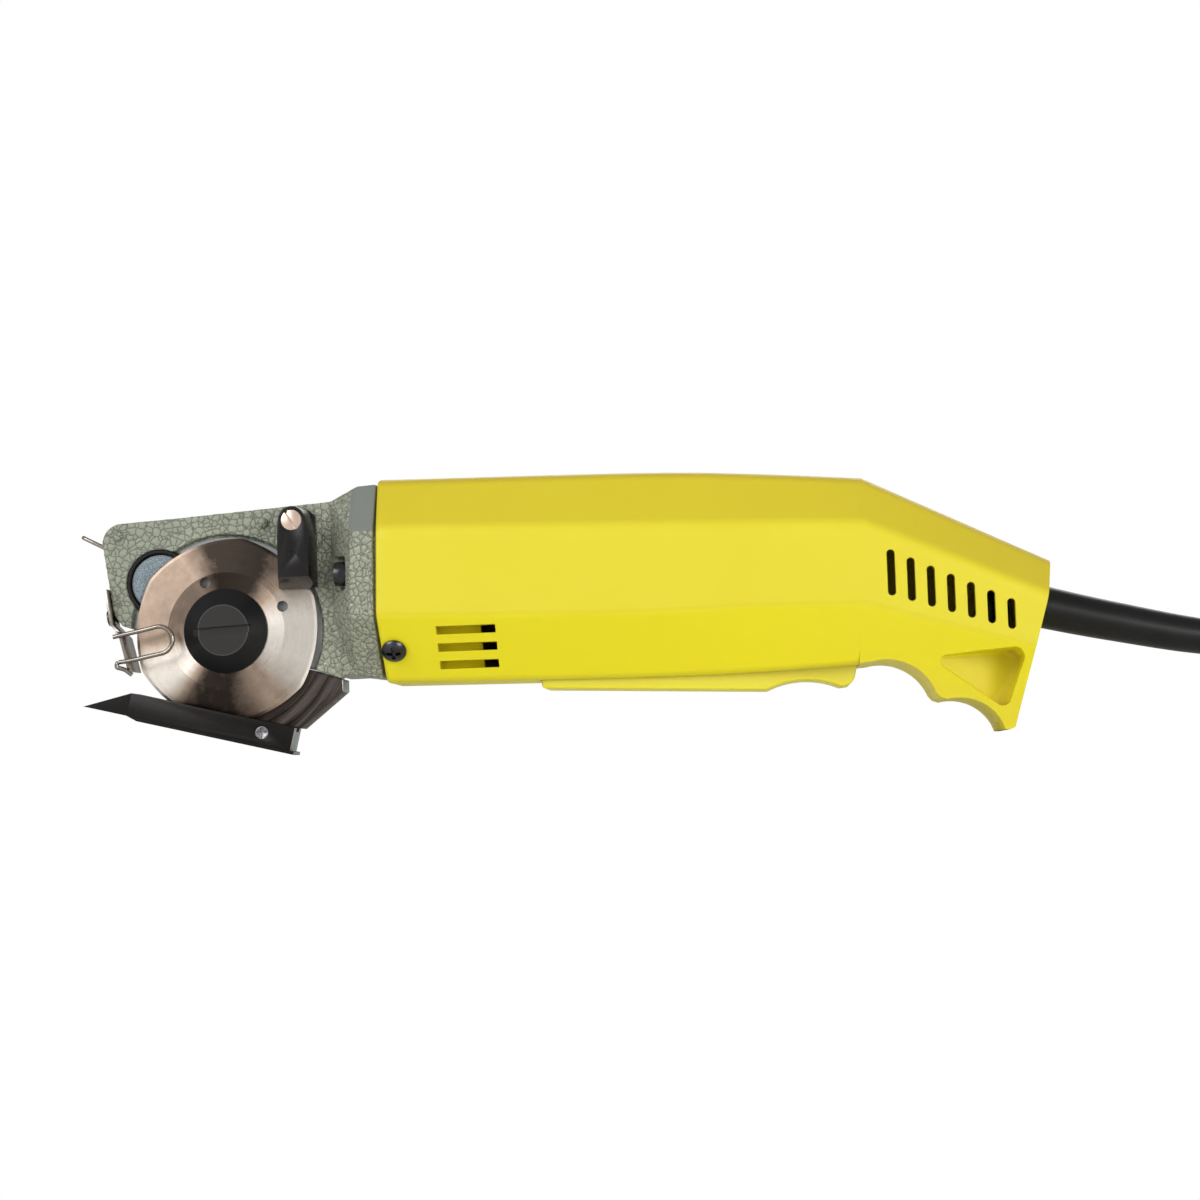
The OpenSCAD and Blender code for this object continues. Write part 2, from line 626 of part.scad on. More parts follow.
// Bent wire hoop over the blade's face, brazed to the strip's near edge
wire_r = 0.62;
hoop_route = [for (p = concat([[-48.6, 33.9], [-44.4, 34.7], [-40.2, 35.5]], arc(-35.9, 32.6, 3.73, 100, -80, 12),
  [[-39.2, 28.2], [-43.2, 27.4]], arc(-46.9, 26.1, 0.85, 95, 225, 5), [[-45.6, 24.9], [-43.6, 23.4]]))
  [p[0], -20.85, p[1]]];

module guard_wire() color([0.75, 0.73, 0.7]) in_frame() tube(hoop_route, wire_r, wire_r, 12, [0, 1, 0]);

module guard_screw() color([0.08, 0.08, 0.09]) in_frame() guard_screw_axis() difference() {
  union() {
    cylinder(r = 2.1, h = 1.3);
    translate([0, 0, -5.8]) cylinder(r = 1.23, h = 5.9);
  }
  translate([0, 0, 1.3]) cube([5, 0.6, 1], center = true);
}

// ---- foot ----

// x runs back along the sole from the nose and z stands square to it
module on_foot() translate([-57.4, 0, sole_len * sin(foot_slope) + 0.9 * cos(foot_slope)])
  rotate([0, foot_slope, 0]) children();

nose_len = 12.3;
bar_len = sole_len - 1.1;

module foot_base() color([0.14, 0.13, 0.13]) in_frame() difference() {
  on_foot() {
    slab(-20.4, -10.4) polygon([[0, 0], [nose_len - 0.05, foot_h], [nose_len - 0.05, 0]]);
    slab(-20.4, -10.4) polygon([[nose_len - 0.1, 0], [nose_len + 3, -0.9], [sole_len, -0.9], [sole_len, 0]]);
    slab(-13.3, -10.4) polygon([[nose_len - 0.1, -0.1], [bar_len, -0.1], [bar_len, foot_h], [nose_len - 0.1, foot_h]]);
    slab(-17.2, -13.2) polygon([[bar_len - 7, -0.1], [bar_len, -0.1], [bar_len, foot_h - 1], [bar_len - 7, foot_h - 1]]);
  }
  y_rod(-8.3, 6.3, 1.3, -17.3, -11);
}

module foot_side_bar() color([0.1, 0.09, 0.09]) in_frame() difference() {
  on_foot() slab(-20.6, -17.22) polygon([[nose_len, 0.02], [bar_len, 0.02], [bar_len, foot_h], [nose_len, foot_h]]);
  y_rod(-8.3, 6.3, 1.35, -30, 0);
  y_rod(-8.3, 6.3, 1.9, -30, -19.4);
}

module foot_screw() color([0.2, 0.19, 0.19]) in_frame() difference() {
  y_screw(-8.3, 6.3, 1.8, 1, 1.28, -20.4, -11.4);
  cross_recess(-8.3, 6.3, -20.9, -1);
}

// Bowed stand behind the blade, with grooves that follow the blade's edge
module foot_stand() color([0.12, 0.11, 0.11]) in_frame() difference() {
  slab(-13.2, -2.6) polygon(concat([[-12.6, 10.62], [0.9, 7.26], [13.2, 17.1], [13.2, 20.3], [4.9, 23.2]],
    arc(axis_x, axis_z, 20.1, -30, -76, 6)));
  for (g = [[27.2, 29.2], [30.6, 32.2]]) difference() {
    y_rod(axis_x, axis_z, g[1], -20, -12.4);
    y_rod(axis_x, axis_z, g[0], -21, -12);
  }
}

// ---- trigger and switch ----

function paddle_outline() = concat([[67.6, 25], [67.6, 16.2], [68.4, 15.9], [128.2, 13.3]],
  arc(139.4, -8, 23.6, 115.5, 65.5, 6), [[151.4, 13.7], [152.9, 14.9], [153.9, 19], [153.9, 22.6],
  [77.5, 22.6], [77.5, 25]]);

module trigger_paddle() color([0.93, 0.88, 0.3]) in_frame() difference() {
  slab(-paddle_half_w, paddle_half_w) polygon(paddle_outline());
  slab(-paddle_half_w + 2.2, paddle_half_w - 2.2) polygon([[70, 18.3], [plunger_x - 4, 16.2], [plunger_x - 4, 30], [70, 30]]);
  slab(-paddle_half_w + 2.2, paddle_half_w - 2.2) polygon([[plunger_x + 4, 17.6], [139, 18.2], [151, 17], [151, 30], [plunger_x + 4, 30]]);
  y_rod(pivot_x, pivot_z, 1.5 + fit_gap, -20, 20);
}

module trigger_pin() color("silver") in_frame() y_rod(pivot_x, pivot_z, 1.49, -13.4, 13.4);

module switch_body() color([0.12, 0.12, 0.13]) in_frame() difference() {
  block([112, -8, 28], [138, 8, 39.8]);
  translate([plunger_x, 0, 29.4]) cylinder(r = 3.4, h = 8.8);
  translate([plunger_x, 0, 20]) cylinder(r = 1.8 + fit_gap, h = 12);
}

module switch_plunger() color([0.75, 0.2, 0.15]) in_frame() {
  translate([plunger_x, 0, 22.9]) cylinder(r = 1.8, h = 8.3);
  translate([plunger_x, 0, 29.5]) cylinder(r = 3.0, h = 1);
}

spring_route = [for (i = [0:60]) let(a = 30 * i) [plunger_x + 2.55 * cos(a), 2.55 * sin(a), 31 + 6.7 * i / 60]];

module switch_spring() color([0.75, 0.75, 0.75]) in_frame() tube(spring_route, 0.28, 0.28, 6);

// ---- cord ----

module cord_clamp() color([0.15, 0.15, 0.16]) in_frame() difference() {
  block([189.8, -4.3, 26.6], [196.2, -1.2, 45.4]);
  for (z = [29.5, 42.5]) y_rod(193, z, 1.3, -10, 10);
}

module clamp_screws() color("silver") in_frame() for (z = [29.5, 42.5])
  y_screw(193, z, 2.3, 1.4, 1.18, 0.2, -11);

module cord_boot() color([0.06, 0.06, 0.07]) in_frame() {
  tube(boot_route, 5.95, 4.6, 16);
  translate([198.2, 0, 35.4]) rotate([0, 104, 0]) cylinder(r = 7.4, h = 2.4);
}

module cord_lead() color([0.06, 0.06, 0.07]) in_frame() tube(lead_route, cord_r, cord_r, 10);

// Plan of the hank at one cord radius: two half rounds and the straight runs between them
module hank_plan(r) {
  translate([hank_x, hank_y]) circle(r);
  translate([hank_end, hank_y]) circle(r);
  translate([hank_x, hank_y - r]) square([hank_run, 2 * r]);
}

module cord_hank() color([0.06, 0.06, 0.07]) in_frame() linear_extrude(4 * cord_d) difference() {
  hank_plan(hank_out + cord_r);
  hank_plan(hank_in - cord_r);
}

module cord_tail() color([0.06, 0.06, 0.07]) in_frame() tube(tail_route, cord_r, cord_r, 10);

// Flat band over the middle of the hank and down both of its sides
module hank_tie() color([0.1, 0.1, 0.1]) in_frame() translate([hank_x + hank_run / 2 - 4, hank_y, 0])
  rotate([90, 0, 90]) linear_extrude(8) difference() {
    translate([-hank_out - 4.4, 0.2]) square([2 * hank_out + 8.8, 4 * cord_d + 1.1]);
    translate([-hank_out - 3.4, -1]) square([2 * hank_out + 6.8, 4 * cord_d + 1.1]);
  }

module plug_body() color([0.06, 0.06, 0.07]) in_frame() translate([plug_x, plug_y, plug_z]) {
  rotate([0, 90, 0]) cylinder(r1 = 4.2, r2 = 5.4, h = 14);
  hull() for (y = [-1, 1]) {
    translate([12, 6 * y, 0]) rotate([0, 90, 0]) cylinder(r = 4.6, h = 2, $fn = 32);
    translate([36, 10.5 * y, 0]) rotate([0, 90, 0]) cylinder(r = 6.9, h = 4, $fn = 32);
  }
}

module plug_pins() color("silver") in_frame() for (y = [-1, 1])
  translate([plug_x + 40, plug_y + y * pin_spacing / 2, plug_z]) rotate([0, 90, 0])
    cylinder(r = pin_r, h = pin_len);

near_shell();
far_shell();
shell_screws();
front_screws();
gear_head();
gear_cover();
cover_screws();
flange_screws();
front_bearing();
rear_bearing();
spindle_near_bush();
spindle_rear_bush();
motor_shaft();
worm();
armature_core();
armature_windings();
commutator();
cooling_fan();
stator_core();
field_coils();
brush_holders();
carbon_brushes();
brush_springs();
worm_wheel();
blade_spindle();
blade_backing_flange();
round_blade();
blade_clamp_nut();
sharpening_stone();
stone_rod();
stone_bracket();
stone_lever();
lever_pin();
guard_block();
guard_block_screw();
guard_strip();
guard_wire();
guard_screw();
foot_base();
foot_side_bar();
foot_screw();
foot_stand();
trigger_paddle();
trigger_pin();
switch_body();
switch_plunger();
switch_spring();
cord_clamp();
clamp_screws();
cord_boot();
cord_lead();
cord_hank();
hank_tie();
cord_tail();
plug_body();
plug_pins();
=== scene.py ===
"""Looks for a hand-held round-knife cloth cutter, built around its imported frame."""

from math import atan2, cos, pi, radians, sin, sqrt

import bmesh
import bpy
from bpy.props import FloatProperty, FloatVectorProperty, PointerProperty
from mathutils import Matrix, Vector


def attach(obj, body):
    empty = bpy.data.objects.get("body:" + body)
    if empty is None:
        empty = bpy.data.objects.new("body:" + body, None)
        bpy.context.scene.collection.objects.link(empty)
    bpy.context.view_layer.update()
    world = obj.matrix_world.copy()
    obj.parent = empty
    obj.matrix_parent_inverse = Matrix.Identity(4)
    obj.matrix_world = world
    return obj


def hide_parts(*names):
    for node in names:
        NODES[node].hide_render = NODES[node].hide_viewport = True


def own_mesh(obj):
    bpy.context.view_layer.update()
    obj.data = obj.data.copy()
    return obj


bl_info = {
    "name": "Round-knife cloth cutter",
    "version": (1, 0, 0),
    "blender": (4, 5, 0),
    "location": "3D View > Sidebar > Cutter",
    "description": "Builds the visual pieces and finishes of a hand-held cloth cutter",
    "category": "Object",
}

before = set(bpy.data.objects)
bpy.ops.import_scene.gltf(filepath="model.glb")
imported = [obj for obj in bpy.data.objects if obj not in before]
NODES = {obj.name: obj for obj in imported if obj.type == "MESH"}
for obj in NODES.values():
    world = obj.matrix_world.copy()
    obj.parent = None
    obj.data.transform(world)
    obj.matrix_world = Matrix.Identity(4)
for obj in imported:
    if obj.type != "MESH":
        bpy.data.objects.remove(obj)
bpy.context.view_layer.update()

MM = 0.001
# The cutter is drawn in millimetres, with x counted from near the foot's heel
FRAME_X = 72.9

AXIS_X, AXIS_Z = -18.4, 34.7
CORD_D = 6.5
CORD_R = CORD_D / 2


def at(x, y, z):
    """A drawing point in millimetres as a point of the frame in metres."""
    return Vector(((x - FRAME_X) * MM, y * MM, z * MM))


# ---------------------------------------------------------------- node trees


class Net:
    """Short calls that put nodes in a tree. Words starting with a capital are inputs."""

    def __init__(self, tree):
        self.tree = tree

    def put(self, kind, out=0, **given):
        made = self.tree.nodes.new("ShaderNode" + kind)
        late = []
        for name, value in given.items():
            if name[0].isupper() or name.startswith("in"):
                late.append((name, value))
            else:
                setattr(made, name, value)
        for name, value in late:
            key = int(name[2:]) if name.startswith("in") else name.replace("_", " ")
            self.feed(made.inputs[key], value)
        return made.outputs[out]

    def feed(self, socket, value):
        if isinstance(value, bpy.types.NodeSocket):
            self.tree.links.new(value, socket)
        else:
            socket.default_value = value

    def math(self, operation, a, b=0.0, clamp=False):
        return self.put("Math", operation=operation, use_clamp=clamp, in0=a, in1=b)

    def mix(self, factor, a, b, blend="MIX"):
        return self.put("Mix", out=2, data_type="RGBA", blend_type=blend, in0=factor, in6=a, in7=b)

    def between(self, value, low, high, to_low=0.0, to_high=1.0):
        return self.put("MapRange", Value=value, From_Min=low, From_Max=high, To_Min=to_low, To_Max=to_high)

    def noise(self, vector, scale, detail=2.0, rough=0.5, out=0):
        return self.put("TexNoise", out=out, Vector=vector, Scale=scale, Detail=detail, Roughness=rough)

    def millimetres(self):
        """Object coordinates in millimetres."""
        place = self.put("TexCoord", out=3)
        return self.put("VectorMath", operation="SCALE", in0=place, Scale=1 / MM)

    def split(self, vector):
        """The x, y and z outputs of a vector."""
        parts = self.tree.nodes.new("ShaderNodeSeparateXYZ")
        self.feed(parts.inputs[0], vector)
        return parts.outputs


def group_sockets(name, inputs, outputs):
    """An empty node group with named float or colour sockets."""
    tree = bpy.data.node_groups.new(name, "ShaderNodeTree")
    for title, kind, default in inputs:
        made = tree.interface.new_socket(title, in_out="INPUT", socket_type="NodeSocket" + kind)
        made.default_value = default
    for title, kind in outputs:
        tree.interface.new_socket(title, in_out="OUTPUT", socket_type="NodeSocket" + kind)
    start, end = tree.nodes.new("NodeGroupInput"), tree.nodes.new("NodeGroupOutput")
    return Net(tree), start.outputs, end.inputs


def fine_grain_group():
    """Spark-eroded grain of moulded plastic, with a slow change of tone."""
    net, given, out = group_sockets(
        "fine_grain", [("Grain", "Float", 3.0)], [("Height", "Float"), ("Tone", "Float")]
    )
    place = net.millimetres()
    pits = net.noise(place, given["Grain"], 3, 0.6)
    net.feed(out["Height"], pits)
    net.feed(out["Tone"], net.noise(place, 0.035, 2, 0.5))
    return net.tree


def hammered_group():
    """Hammered paint: a net of rounded cells with sunk seams."""
    net, given, out = group_sockets(
        "hammered_paint",
        [("Cells", "Float", 0.55), ("Warp", "Float", 0.9)],
        [("Height", "Float"), ("Seam", "Float"), ("Fleck", "Float"), ("Tone", "Float")],
    )
    place = net.millimetres()
    wander = net.noise(place, 0.9, 2, 0.6, out=1)
    pushed = net.put("VectorMath", operation="SCALE", in0=wander, Scale=given["Warp"])
    bent = net.put("VectorMath", operation="ADD", in0=place, in1=pushed)
    seam = net.put("TexVoronoi", feature="DISTANCE_TO_EDGE", Vector=bent, Scale=given["Cells"])
    dome = net.between(seam, 0.0, 0.38)
    soft = net.put("Math", operation="POWER", in0=dome, in1=0.6)
    fine = net.noise(place, 3.2, 3, 0.6)
    height = net.math("ADD", soft, net.math("MULTIPLY", fine, 0.25))
    net.feed(out["Height"], height)
    net.feed(out["Seam"], net.between(seam, 0.0, 0.1, 1.0, 0.0))
    # The glint mask: where cream spots are painted as glints of light
    net.feed(out["Fleck"], net.between(net.noise(place, 1.5, 4, 0.75), 0.56, 0.70))
    net.feed(out["Tone"], net.noise(place, 0.12, 3, 0.6))
    return net.tree


def turned_group():
    """Marks of turning or circular brushing round an axis along y."""
    net, given, out = group_sockets(
        "turned_marks",
        [("Centre X", "Float", 0.0), ("Centre Z", "Float", 0.0), ("Rings", "Float", 2.0)],
        [("Streaks", "Float"), ("Angle", "Float"), ("Radius", "Float"), ("Blotch", "Float")],
    )
    place = net.millimetres()
    parts = net.split(place)
    x = net.math("SUBTRACT", parts[0], given["Centre X"])
    z = net.math("SUBTRACT", parts[2], given["Centre Z"])
    radius = net.math("SQRT", net.math("ADD", net.math("MULTIPLY", x, x), net.math("MULTIPLY", z, z)))
    angle = net.math("ARCTAN2", z, x)
    polar = net.put("CombineXYZ", X=net.math("MULTIPLY", radius, given["Rings"]),
                    Y=net.math("SINE", angle), Z=net.math("COSINE", angle))
    net.feed(out["Streaks"], net.noise(polar, 2.2, 5, 0.7))
    net.feed(out["Angle"], angle)
    net.feed(out["Radius"], radius)
    net.feed(out["Blotch"], net.noise(place, 0.22, 4, 0.65))
    return net.tree


def worn_group():
    """Slow tone and small scuffs for metal, rubber and oxide finishes."""
    net, given, out = group_sockets(
        "scuffs", [("Scale", "Float", 1.0)], [("Tone", "Float"), ("Scuff", "Float"), ("Speckle", "Float")]
    )
    place = net.millimetres()
    scaled = net.put("VectorMath", operation="SCALE", in0=place, Scale=given["Scale"])
    net.feed(out["Tone"], net.noise(scaled, 0.15, 3, 0.6))
    long = net.put("Mapping", Vector=scaled, Scale=(0.35, 1.0, 2.6), Rotation=(0.0, 0.5, 0.0))
    net.feed(out["Scuff"], net.between(net.noise(long, 0.9, 6, 0.75), 0.58, 0.74))
    net.feed(out["Speckle"], net.noise(scaled, 5.0, 3, 0.7))
    return net.tree


GROUPS = {}


def placed(net, name, **given):
    """The outputs of a shared group placed in a material."""
    makers = {
        "grain": fine_grain_group,
        "hammered": hammered_group,
        "turned": turned_group,
        "worn": worn_group,
    }
    if name not in GROUPS:
        GROUPS[name] = makers[name]()
    box = net.tree.nodes.new("ShaderNodeGroup")
    box.node_tree = GROUPS[name]
    for title, value in given.items():
        net.feed(box.inputs[title.replace("_", " ")], value)
    return box.outputs


def finish(name, colour=(0.5, 0.5, 0.5), rough=0.5, metal=0.0, **constants):
    """A material with its Principled shader and constant sockets set."""
    material = bpy.data.materials.new(name)
    material.use_nodes = True
    material.diffuse_color = (*colour, 1.0)
    tree = material.node_tree
    shader = next(n for n in tree.nodes if n.type == "BSDF_PRINCIPLED")
    shader.inputs["Base Color"].default_value = (*colour, 1.0)
    shader.inputs["Roughness"].default_value = rough
    shader.inputs["Metallic"].default_value = metal
    for title, value in constants.items():
        shader.inputs[title.replace("_", " ")].default_value = value
    return material, Net(tree), shader.inputs


def rgba(colour):
    return (*colour, 1.0)


def bump(net, sockets, height, distance, strength=1.0):
    net.feed(sockets["Normal"], net.put("Bump", Strength=strength, Distance=distance, Height=height))


def plastic(name, colour, deep, rough=0.42, grain=3.0, depth=0.00002):
    """Satin moulded plastic with fine grain, and painted shade and light that follow which way a face looks.
    """
    material, net, sockets = finish(name, colour, rough, 0.0, IOR=1.46)
    sockets["Subsurface Weight"].default_value = 0.12
    sockets["Subsurface Radius"].default_value = (0.0022, 0.0016, 0.0004)
    marks = placed(net, "grain", Grain=grain)
    tone = net.between(marks["Tone"], 0.3, 0.7)
    body = net.mix(tone, rgba(colour), rgba(deep))
    # Painted shade and light: faces that look up are painted darker and more orange, as if less light fell on
    # them, and faces that look down are painted brighter and purer, as if lit from the floor
    facing = net.split(net.put("NewGeometry", out=1))[2]
    painted_top_shade = rgba([colour[0] * 0.80, colour[1] * 0.70, colour[2]])
    # below: the painted light on faces that look down
    below = rgba([min(1, colour[0] * 1.15), colour[1] * 1.16, colour[2] * 0.5])
    lower = net.mix(net.between(facing, -0.2, -0.55), body, below)
    net.feed(sockets["Base Color"], net.mix(net.between(facing, 0.3, 0.85), lower, painted_top_shade))
    net.feed(sockets["Roughness"], net.between(marks["Height"], 0.3, 0.7, rough - 0.05, rough + 0.07))
    bump(net, sockets, marks["Height"], depth, 0.55)
    return material


def hammertone(name, pale, dark, cream):
    """Hammered enamel on cast aluminium."""
    material, net, sockets = finish(name, pale, 0.36, 0.0, Specular_IOR_Level=0.4)
    marks = placed(net, "hammered", Cells=0.56, Warp=0.9)
    body = net.mix(net.between(marks["Tone"], 0.35, 0.65), rgba(pale), rgba([c * 0.86 for c in pale]))
    seamed = net.mix(net.math("MULTIPLY", marks["Seam"], 0.75), body, rgba(dark))
    # Cream spots painted beside the handle stand for glints of light on the hammered paint
    near_handle = net.between(net.split(net.millimetres())[0], -6 - FRAME_X, 4 - FRAME_X)
    painted_glint = net.math("MULTIPLY", net.math("MULTIPLY", marks["Fleck"], near_handle), 0.85)
    net.feed(sockets["Base Color"], net.mix(painted_glint, seamed, rgba(cream)))
    net.feed(sockets["Metallic"], net.math("MULTIPLY", painted_glint, 0.3))
    net.feed(sockets["Roughness"], net.between(marks["Seam"], 0.0, 1.0, 0.33, 0.55))
    bump(net, sockets, marks["Height"], 0.00035, 0.9)
    return material


def smooth_enamel(name, pale, dark):
    """The same enamel where it dried with a fine, even grain."""
    material, net, sockets = finish(name, pale, 0.5, 0.0)
    marks = placed(net, "worn", Scale=1.0)
    grain = net.between(marks["Speckle"], 0.35, 0.65)
    net.feed(sockets["Base Color"], net.mix(grain, rgba(pale), rgba(dark)))
    bump(net, sockets, marks["Speckle"], 0.00003, 0.6)
    return material


def metal(name, colour, second, rough=0.3, scale=1.0, depth=0.00001, metallic=1.0, **constants):
    """Bare or plated metal with scuffs and a slow change of tone."""
    material, net, sockets = finish(name, colour, rough, metallic, **constants)
    marks = placed(net, "worn", Scale=scale)
    tone = net.mix(net.between(marks["Tone"], 0.35, 0.65), rgba(colour), rgba(second))
    bright = rgba([min(1, c * 1.5) for c in colour])
    net.feed(sockets["Base Color"], net.mix(net.math("MULTIPLY", marks["Scuff"], 0.35), tone, bright))
    net.feed(sockets["Roughness"], net.between(marks["Speckle"], 0.25, 0.75, rough - 0.07, rough + 0.1))
    bump(net, sockets, marks["Speckle"], depth, 0.5)
    return material


def black_finish(name, colour, second, rough=0.35, depth=0.00002, scuff=0.25, **constants):
    """Black oxide, plastic or rubber with pale scuffs."""
    material, net, sockets = finish(name, colour, rough, constants.pop("metallic", 0.0), **constants)
    marks = placed(net, "worn", Scale=0.8)
    tone = net.mix(net.between(marks["Tone"], 0.3, 0.7), rgba(colour), rgba(second))
    pale = [min(1.0, c * 2.4 + 0.03) for c in colour]
    net.feed(sockets["Base Color"], net.mix(net.math("MULTIPLY", marks["Scuff"], scuff), tone, rgba(pale)))
    net.feed(sockets["Roughness"], net.between(marks["Speckle"], 0.25, 0.75, rough - 0.08, rough + 0.12))
    bump(net, sockets, marks["Speckle"], depth, 0.6)
    return material


def blade_finish():
    """Ground and circularly brushed high-speed steel, with painted reflections that are brightest across two
    wide fans.
    """
    material, net, sockets = finish("brushed_blade_steel", (0.62, 0.55, 0.5), 0.3, 1.0, Anisotropic=0.75)
    marks = placed(net, "turned", Centre_X=AXIS_X - FRAME_X, Centre_Z=AXIS_Z, Rings=6.0)
    level = net.between(marks["Blotch"], 0.3, 0.7, 0.38, 0.52)
    # Painted reflections: bright fans near -8 and 213 degrees and dark fans near 78, 150 and 261 degrees
    # round the blade's axis
    for middle, edge, core, painted_light_gain in ((-8, 0.72, 0.97, 0.55), (213, 0.90, 0.99, 0.45), (150, 0.6, 0.95, -0.14),
                                     (78, 0.74, 0.985, -0.54), (261, 0.78, 0.985, -0.46)):
        reflection_lobe = net.math("COSINE", net.math("SUBTRACT", marks["Angle"], radians(middle)))
        level = net.math("ADD", level, net.between(reflection_lobe, edge, core, 0.0, painted_light_gain))
    # Colours of the painted reflections, from dark brown to cream
    low = net.mix(net.between(level, 0.0, 0.45), (0.035, 0.027, 0.022, 1), (0.40, 0.30, 0.23, 1))
    warm = net.mix(net.between(level, 0.45, 1.0), low, (0.97, 0.90, 0.82, 1))
    streaks = net.between(marks["Streaks"], 0.3, 0.7, 0.84, 1.16)
    grey = net.put("CombineColor", Red=streaks, Green=streaks, Blue=streaks)
    net.feed(sockets["Base Color"], net.mix(1.0, warm, grey, "MULTIPLY"))
    net.feed(sockets["Roughness"], net.between(marks["Streaks"], 0.3, 0.7, 0.24, 0.4))
    bump(net, sockets, marks["Streaks"], 0.000012, 0.6)
    tangent = net.tree.nodes.new("ShaderNodeTangent")
    tangent.direction_type, tangent.axis = "RADIAL", "Y"
    net.feed(sockets["Tangent"], tangent.outputs[0])
    return material


def turned_black():
    """Black turned steel of the clamp nut, with fine rings."""
    colour = (0.02, 0.02, 0.021)
    material, net, sockets = finish("black_turned_nut", colour, 0.36, 0.3, Specular_IOR_Level=0.3)
    marks = placed(net, "turned", Centre_X=AXIS_X - FRAME_X, Centre_Z=AXIS_Z, Rings=5.0)
    disc = net.between(marks["Radius"], 6.75, 6.95, 1.0, 0.0)
    outward, inward = net.between(marks["Radius"], 6.7, 6.9), net.between(marks["Radius"], 6.9, 7.1, 1.0, 0.0)
    rim = net.math("MULTIPLY", outward, inward)
    base = net.mix(disc, (0.014, 0.014, 0.015, 1), (0.035, 0.033, 0.032, 1))
    net.feed(sockets["Base Color"], net.mix(net.math("MULTIPLY", rim, 0.5), base, (0.2, 0.19, 0.18, 1)))
    net.feed(sockets["Roughness"], net.between(marks["Streaks"], 0.3, 0.7, 0.26, 0.46))
    bump(net, sockets, marks["Streaks"], 0.00002, 0.5)
    return material


def stone_grit():
    """Blue-grey aluminium oxide grit."""
    material, net, sockets = finish("sharpening_grit", (0.25, 0.32, 0.38), 0.85)
    place = net.millimetres()
    grit = net.put("TexVoronoi", Vector=place, Scale=3.4)
    speck = net.noise(place, 4.5, 4, 0.8)
    cold = net.mix(net.between(speck, 0.42, 0.58), (0.04, 0.06, 0.075, 1), (0.42, 0.50, 0.55, 1))
    pale = net.between(grit, 0.0, 0.5, 0.3, 0.0)
    net.feed(sockets["Base Color"], net.mix(pale, cold, (0.30, 0.40, 0.46, 1)))
    bump(net, sockets, speck, 0.00008, 0.9)
    return material


def grooved_oxide():
    """Brown-black oxide with grooves that follow the blade's edge."""
    material, net, sockets = finish("grooved_brown_oxide", (0.05, 0.035, 0.028), 0.42, 0.4)
    marks = placed(net, "turned", Centre_X=AXIS_X - FRAME_X, Centre_Z=AXIS_Z, Rings=1.1)
    groove = net.between(marks["Streaks"], 0.35, 0.65)
    net.feed(sockets["Base Color"], net.mix(groove, (0.018, 0.014, 0.012, 1), (0.075, 0.052, 0.04, 1)))
    net.feed(sockets["Roughness"], net.between(marks["Streaks"], 0.3, 0.7, 0.3, 0.55))
    bump(net, sockets, marks["Streaks"], 0.0001, 0.8)
    return material


def wound_wire(name, colour, second):
    """Enamelled copper wire laid round the motor's axis."""
    material, net, sockets = finish(name, colour, 0.3, 0.8, Coat_Weight=0.4)
    place = net.millimetres()
    turns = net.put("TexWave", Vector=place, Scale=0.9, Distortion=1.5, Detail=2.0, bands_direction="X")
    net.feed(sockets["Base Color"], net.mix(turns, rgba(second), rgba(colour)))
    bump(net, sockets, turns, 0.0002, 0.8)
    return material


def stacked_sheets():
    """Edges of thin laminations stacked along the shaft."""
    material, net, sockets = finish("stacked_laminations", (0.35, 0.35, 0.37), 0.42, 0.9)
    place = net.millimetres()
    sheets = net.put("TexWave", Vector=place, Scale=0.63, Distortion=0.3, bands_direction="X")
    net.feed(sockets["Base Color"], net.mix(sheets, (0.16, 0.16, 0.17, 1), (0.45, 0.45, 0.47, 1)))
    bump(net, sockets, sheets, 0.0001, 0.6)
    return material


FINISHES = {}


def toned(colour, *shares):
    return [part * share for part, share in zip(colour, shares)]


